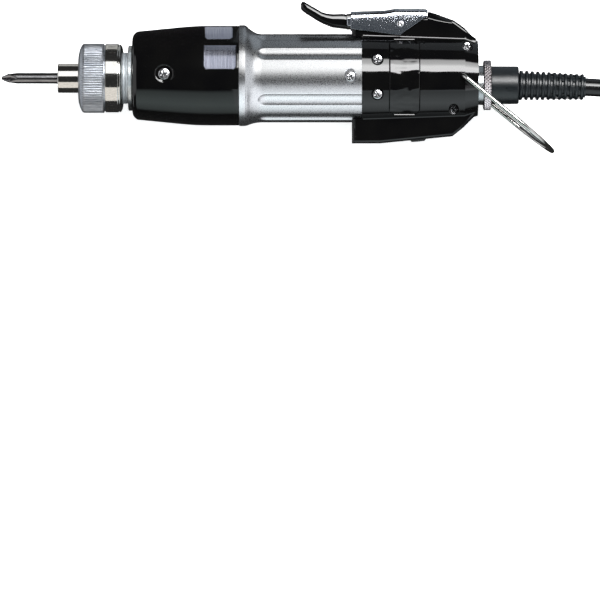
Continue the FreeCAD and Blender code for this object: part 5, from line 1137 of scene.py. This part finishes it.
CARD_FALLOFF = [(0.0, 0.1), (0.12, 0.5), (0.45, 1.0), (0.62, 0.9), (0.9, 0.6), (1.0, 0.7)]
front_metal = (bit, sleeve, nut, scale_marks, clutch_nose, front_ring, *foils)
flagged(softbox("softbox over the lever side", (1.0, 1.0, 1.0), 16, 50, 0.11, 1.0, 15.0, falloff=[
    (0.0, 1.0), (0.42, 1.0), (0.6, 0.64), (0.9, 0.5), (1.0, 0.12),
]), "EXCLUDE", grip, coupling, *foils)
lever_metal = (lever, finger_ears)
flagged(softbox("blue card over the lever", (0.78, 0.9, 1.0), -14, 14, 0.0, 0.35, 0.07), "INCLUDE", *lever_metal)
flagged(softbox("white card over the foils", (0.95, 0.97, 1.0), 6, 44, 0.0, 0.25, 0.82), "INCLUDE", *foils)
flagged(softbox("softbox over the grip", (1.0, 0.985, 0.96), 4, 54, 0.0, 1.0, 2.1, falloff=[
    (0.0, 0.15), (0.16, 0.5), (0.3, 1.0), (1.0, 1.0),
]), "INCLUDE", grip, coupling)
flagged(softbox("white card below the grip", (0.97, 0.98, 1.0), -100, -20, 0.0, 1.0, 1.45, falloff=[
    (0.0, 0.5), (0.4, 1.0), (0.85, 0.9), (1.0, 0.4),
]), "INCLUDE", grip, coupling)
flagged(softbox("strip light in front", (1.0, 1.0, 1.0), 14, 56, -0.12, 0.03, 1.5), "INCLUDE", *front_metal)
flagged(softbox("grey card beside the nut", (0.95, 0.95, 0.93), 110, 150, -0.12, 0.03, 0.5), "INCLUDE", *front_metal)
flagged(softbox("grey card beside the foils", (0.9, 0.95, 1.0), 58, 150, 0.03, 0.09, 0.6), "INCLUDE", *foils)
flagged(softbox("cream card below the nut", (1.0, 0.95, 0.89), -84, -33, -0.8, 0.09, 0.95), "INCLUDE", *front_metal)
for name, tint, near, far in (
    ("white card above the thread", (0.9, 0.97, 1.0), -35, 20),
    ("white card beside the thread", (0.95, 0.98, 1.0), 50, 105),
):
    flagged(softbox(name, tint, near, far, -3.0, 3.0, 0.8), "INCLUDE", clutch_nose, front_ring)
softbox("grey card on the far side", (0.85, 0.93, 1.0), 80, 140, 0.09, 0.9, 0.3)
flagged(softbox("white card on the low side", (0.88, 0.97, 1.0), -102, -34, 0.09, 1.0, 1.2, falloff=CARD_FALLOFF),
        "EXCLUDE", grip)
flagged(softbox("white card on the low side in front", (0.84, 1.0, 0.98), -102, -37, -0.8, 0.09, 1.05,
                falloff=CARD_FALLOFF[:-2] + [(0.88, 0.6), (1.0, 0.1)]), "EXCLUDE", *front_metal)
end_card = softbox("grey card before the bit", (0.95, 0.98, 1.0), -25, 25, -0.4, 0.4, 0.7)
end_card.location = (-0.9, 0, -0.4)
end_card.rotation_euler = (0, math.radians(-114), 0)
# Two walls of light, far beyond the bit and the cord, give the turned pieces a reflection when seen from their ends.
WALL_AWAY = 2.0
WALL_RISE = 0.9
for end, name in ((-1, "wall of light beyond the bit"), (1, "wall of light beyond the cord")):
    wall = softbox(name, (0.97, 0.98, 1.0), -37, 37, -1.1, 1.1, 0.8, WALL_AWAY)
    wall.location = (0.1 + end * WALL_AWAY, 0, WALL_RISE)
    wall.rotation_euler = (0, end * math.radians(66), 0)
    wall.visible_diffuse = False
fill = softbox("fill from above", (1.0, 1.0, 1.0), -45, 45, -1.0, 1.2, 1.3, 1.6)
fill.visible_glossy = False
floor_mesh = bpy.data.meshes.new("bench")
floor_mesh.from_pydata([(x, y, FLOOR * MM) for x, y in ((-3, -3), (3, -3), (3, 3), (-3, 3))], [], [(0, 1, 2, 3)])
floor = put("bench", floor_mesh)
# White paper: matt and even.
paper = new_material("Paper, white and matt, lit from below", "#f4f4f4", 0.9, 1.45)
shader_of(paper).inputs["Emission Color"].default_value = linear("#ffffff")
shader_of(paper).inputs["Emission Strength"].default_value = 0.6
floor.data.materials.append(paper)
floor.visible_glossy = False
world = bpy.data.worlds.new("studio")
world.use_nodes = True
world.node_tree.nodes["Background"].inputs["Color"].default_value = linear("#ffffff")
world.node_tree.nodes["Background"].inputs["Strength"].default_value = 0.03
bpy.context.scene.world = world

# Camera: straight above, so that the tool lies across the top of the picture.
# A long lens from far off keeps the sides of the tool nearly parallel.
camera_data = bpy.data.cameras.new("camera")
camera_data.lens = 324
camera_data.sensor_width = 36
camera = bpy.data.objects.new("camera", camera_data)
camera.location = (0.1113, -0.1020, 2.484)
bpy.context.scene.collection.objects.link(camera)
bpy.context.scene.camera = camera
bpy.context.scene.view_settings.view_transform = "Standard"
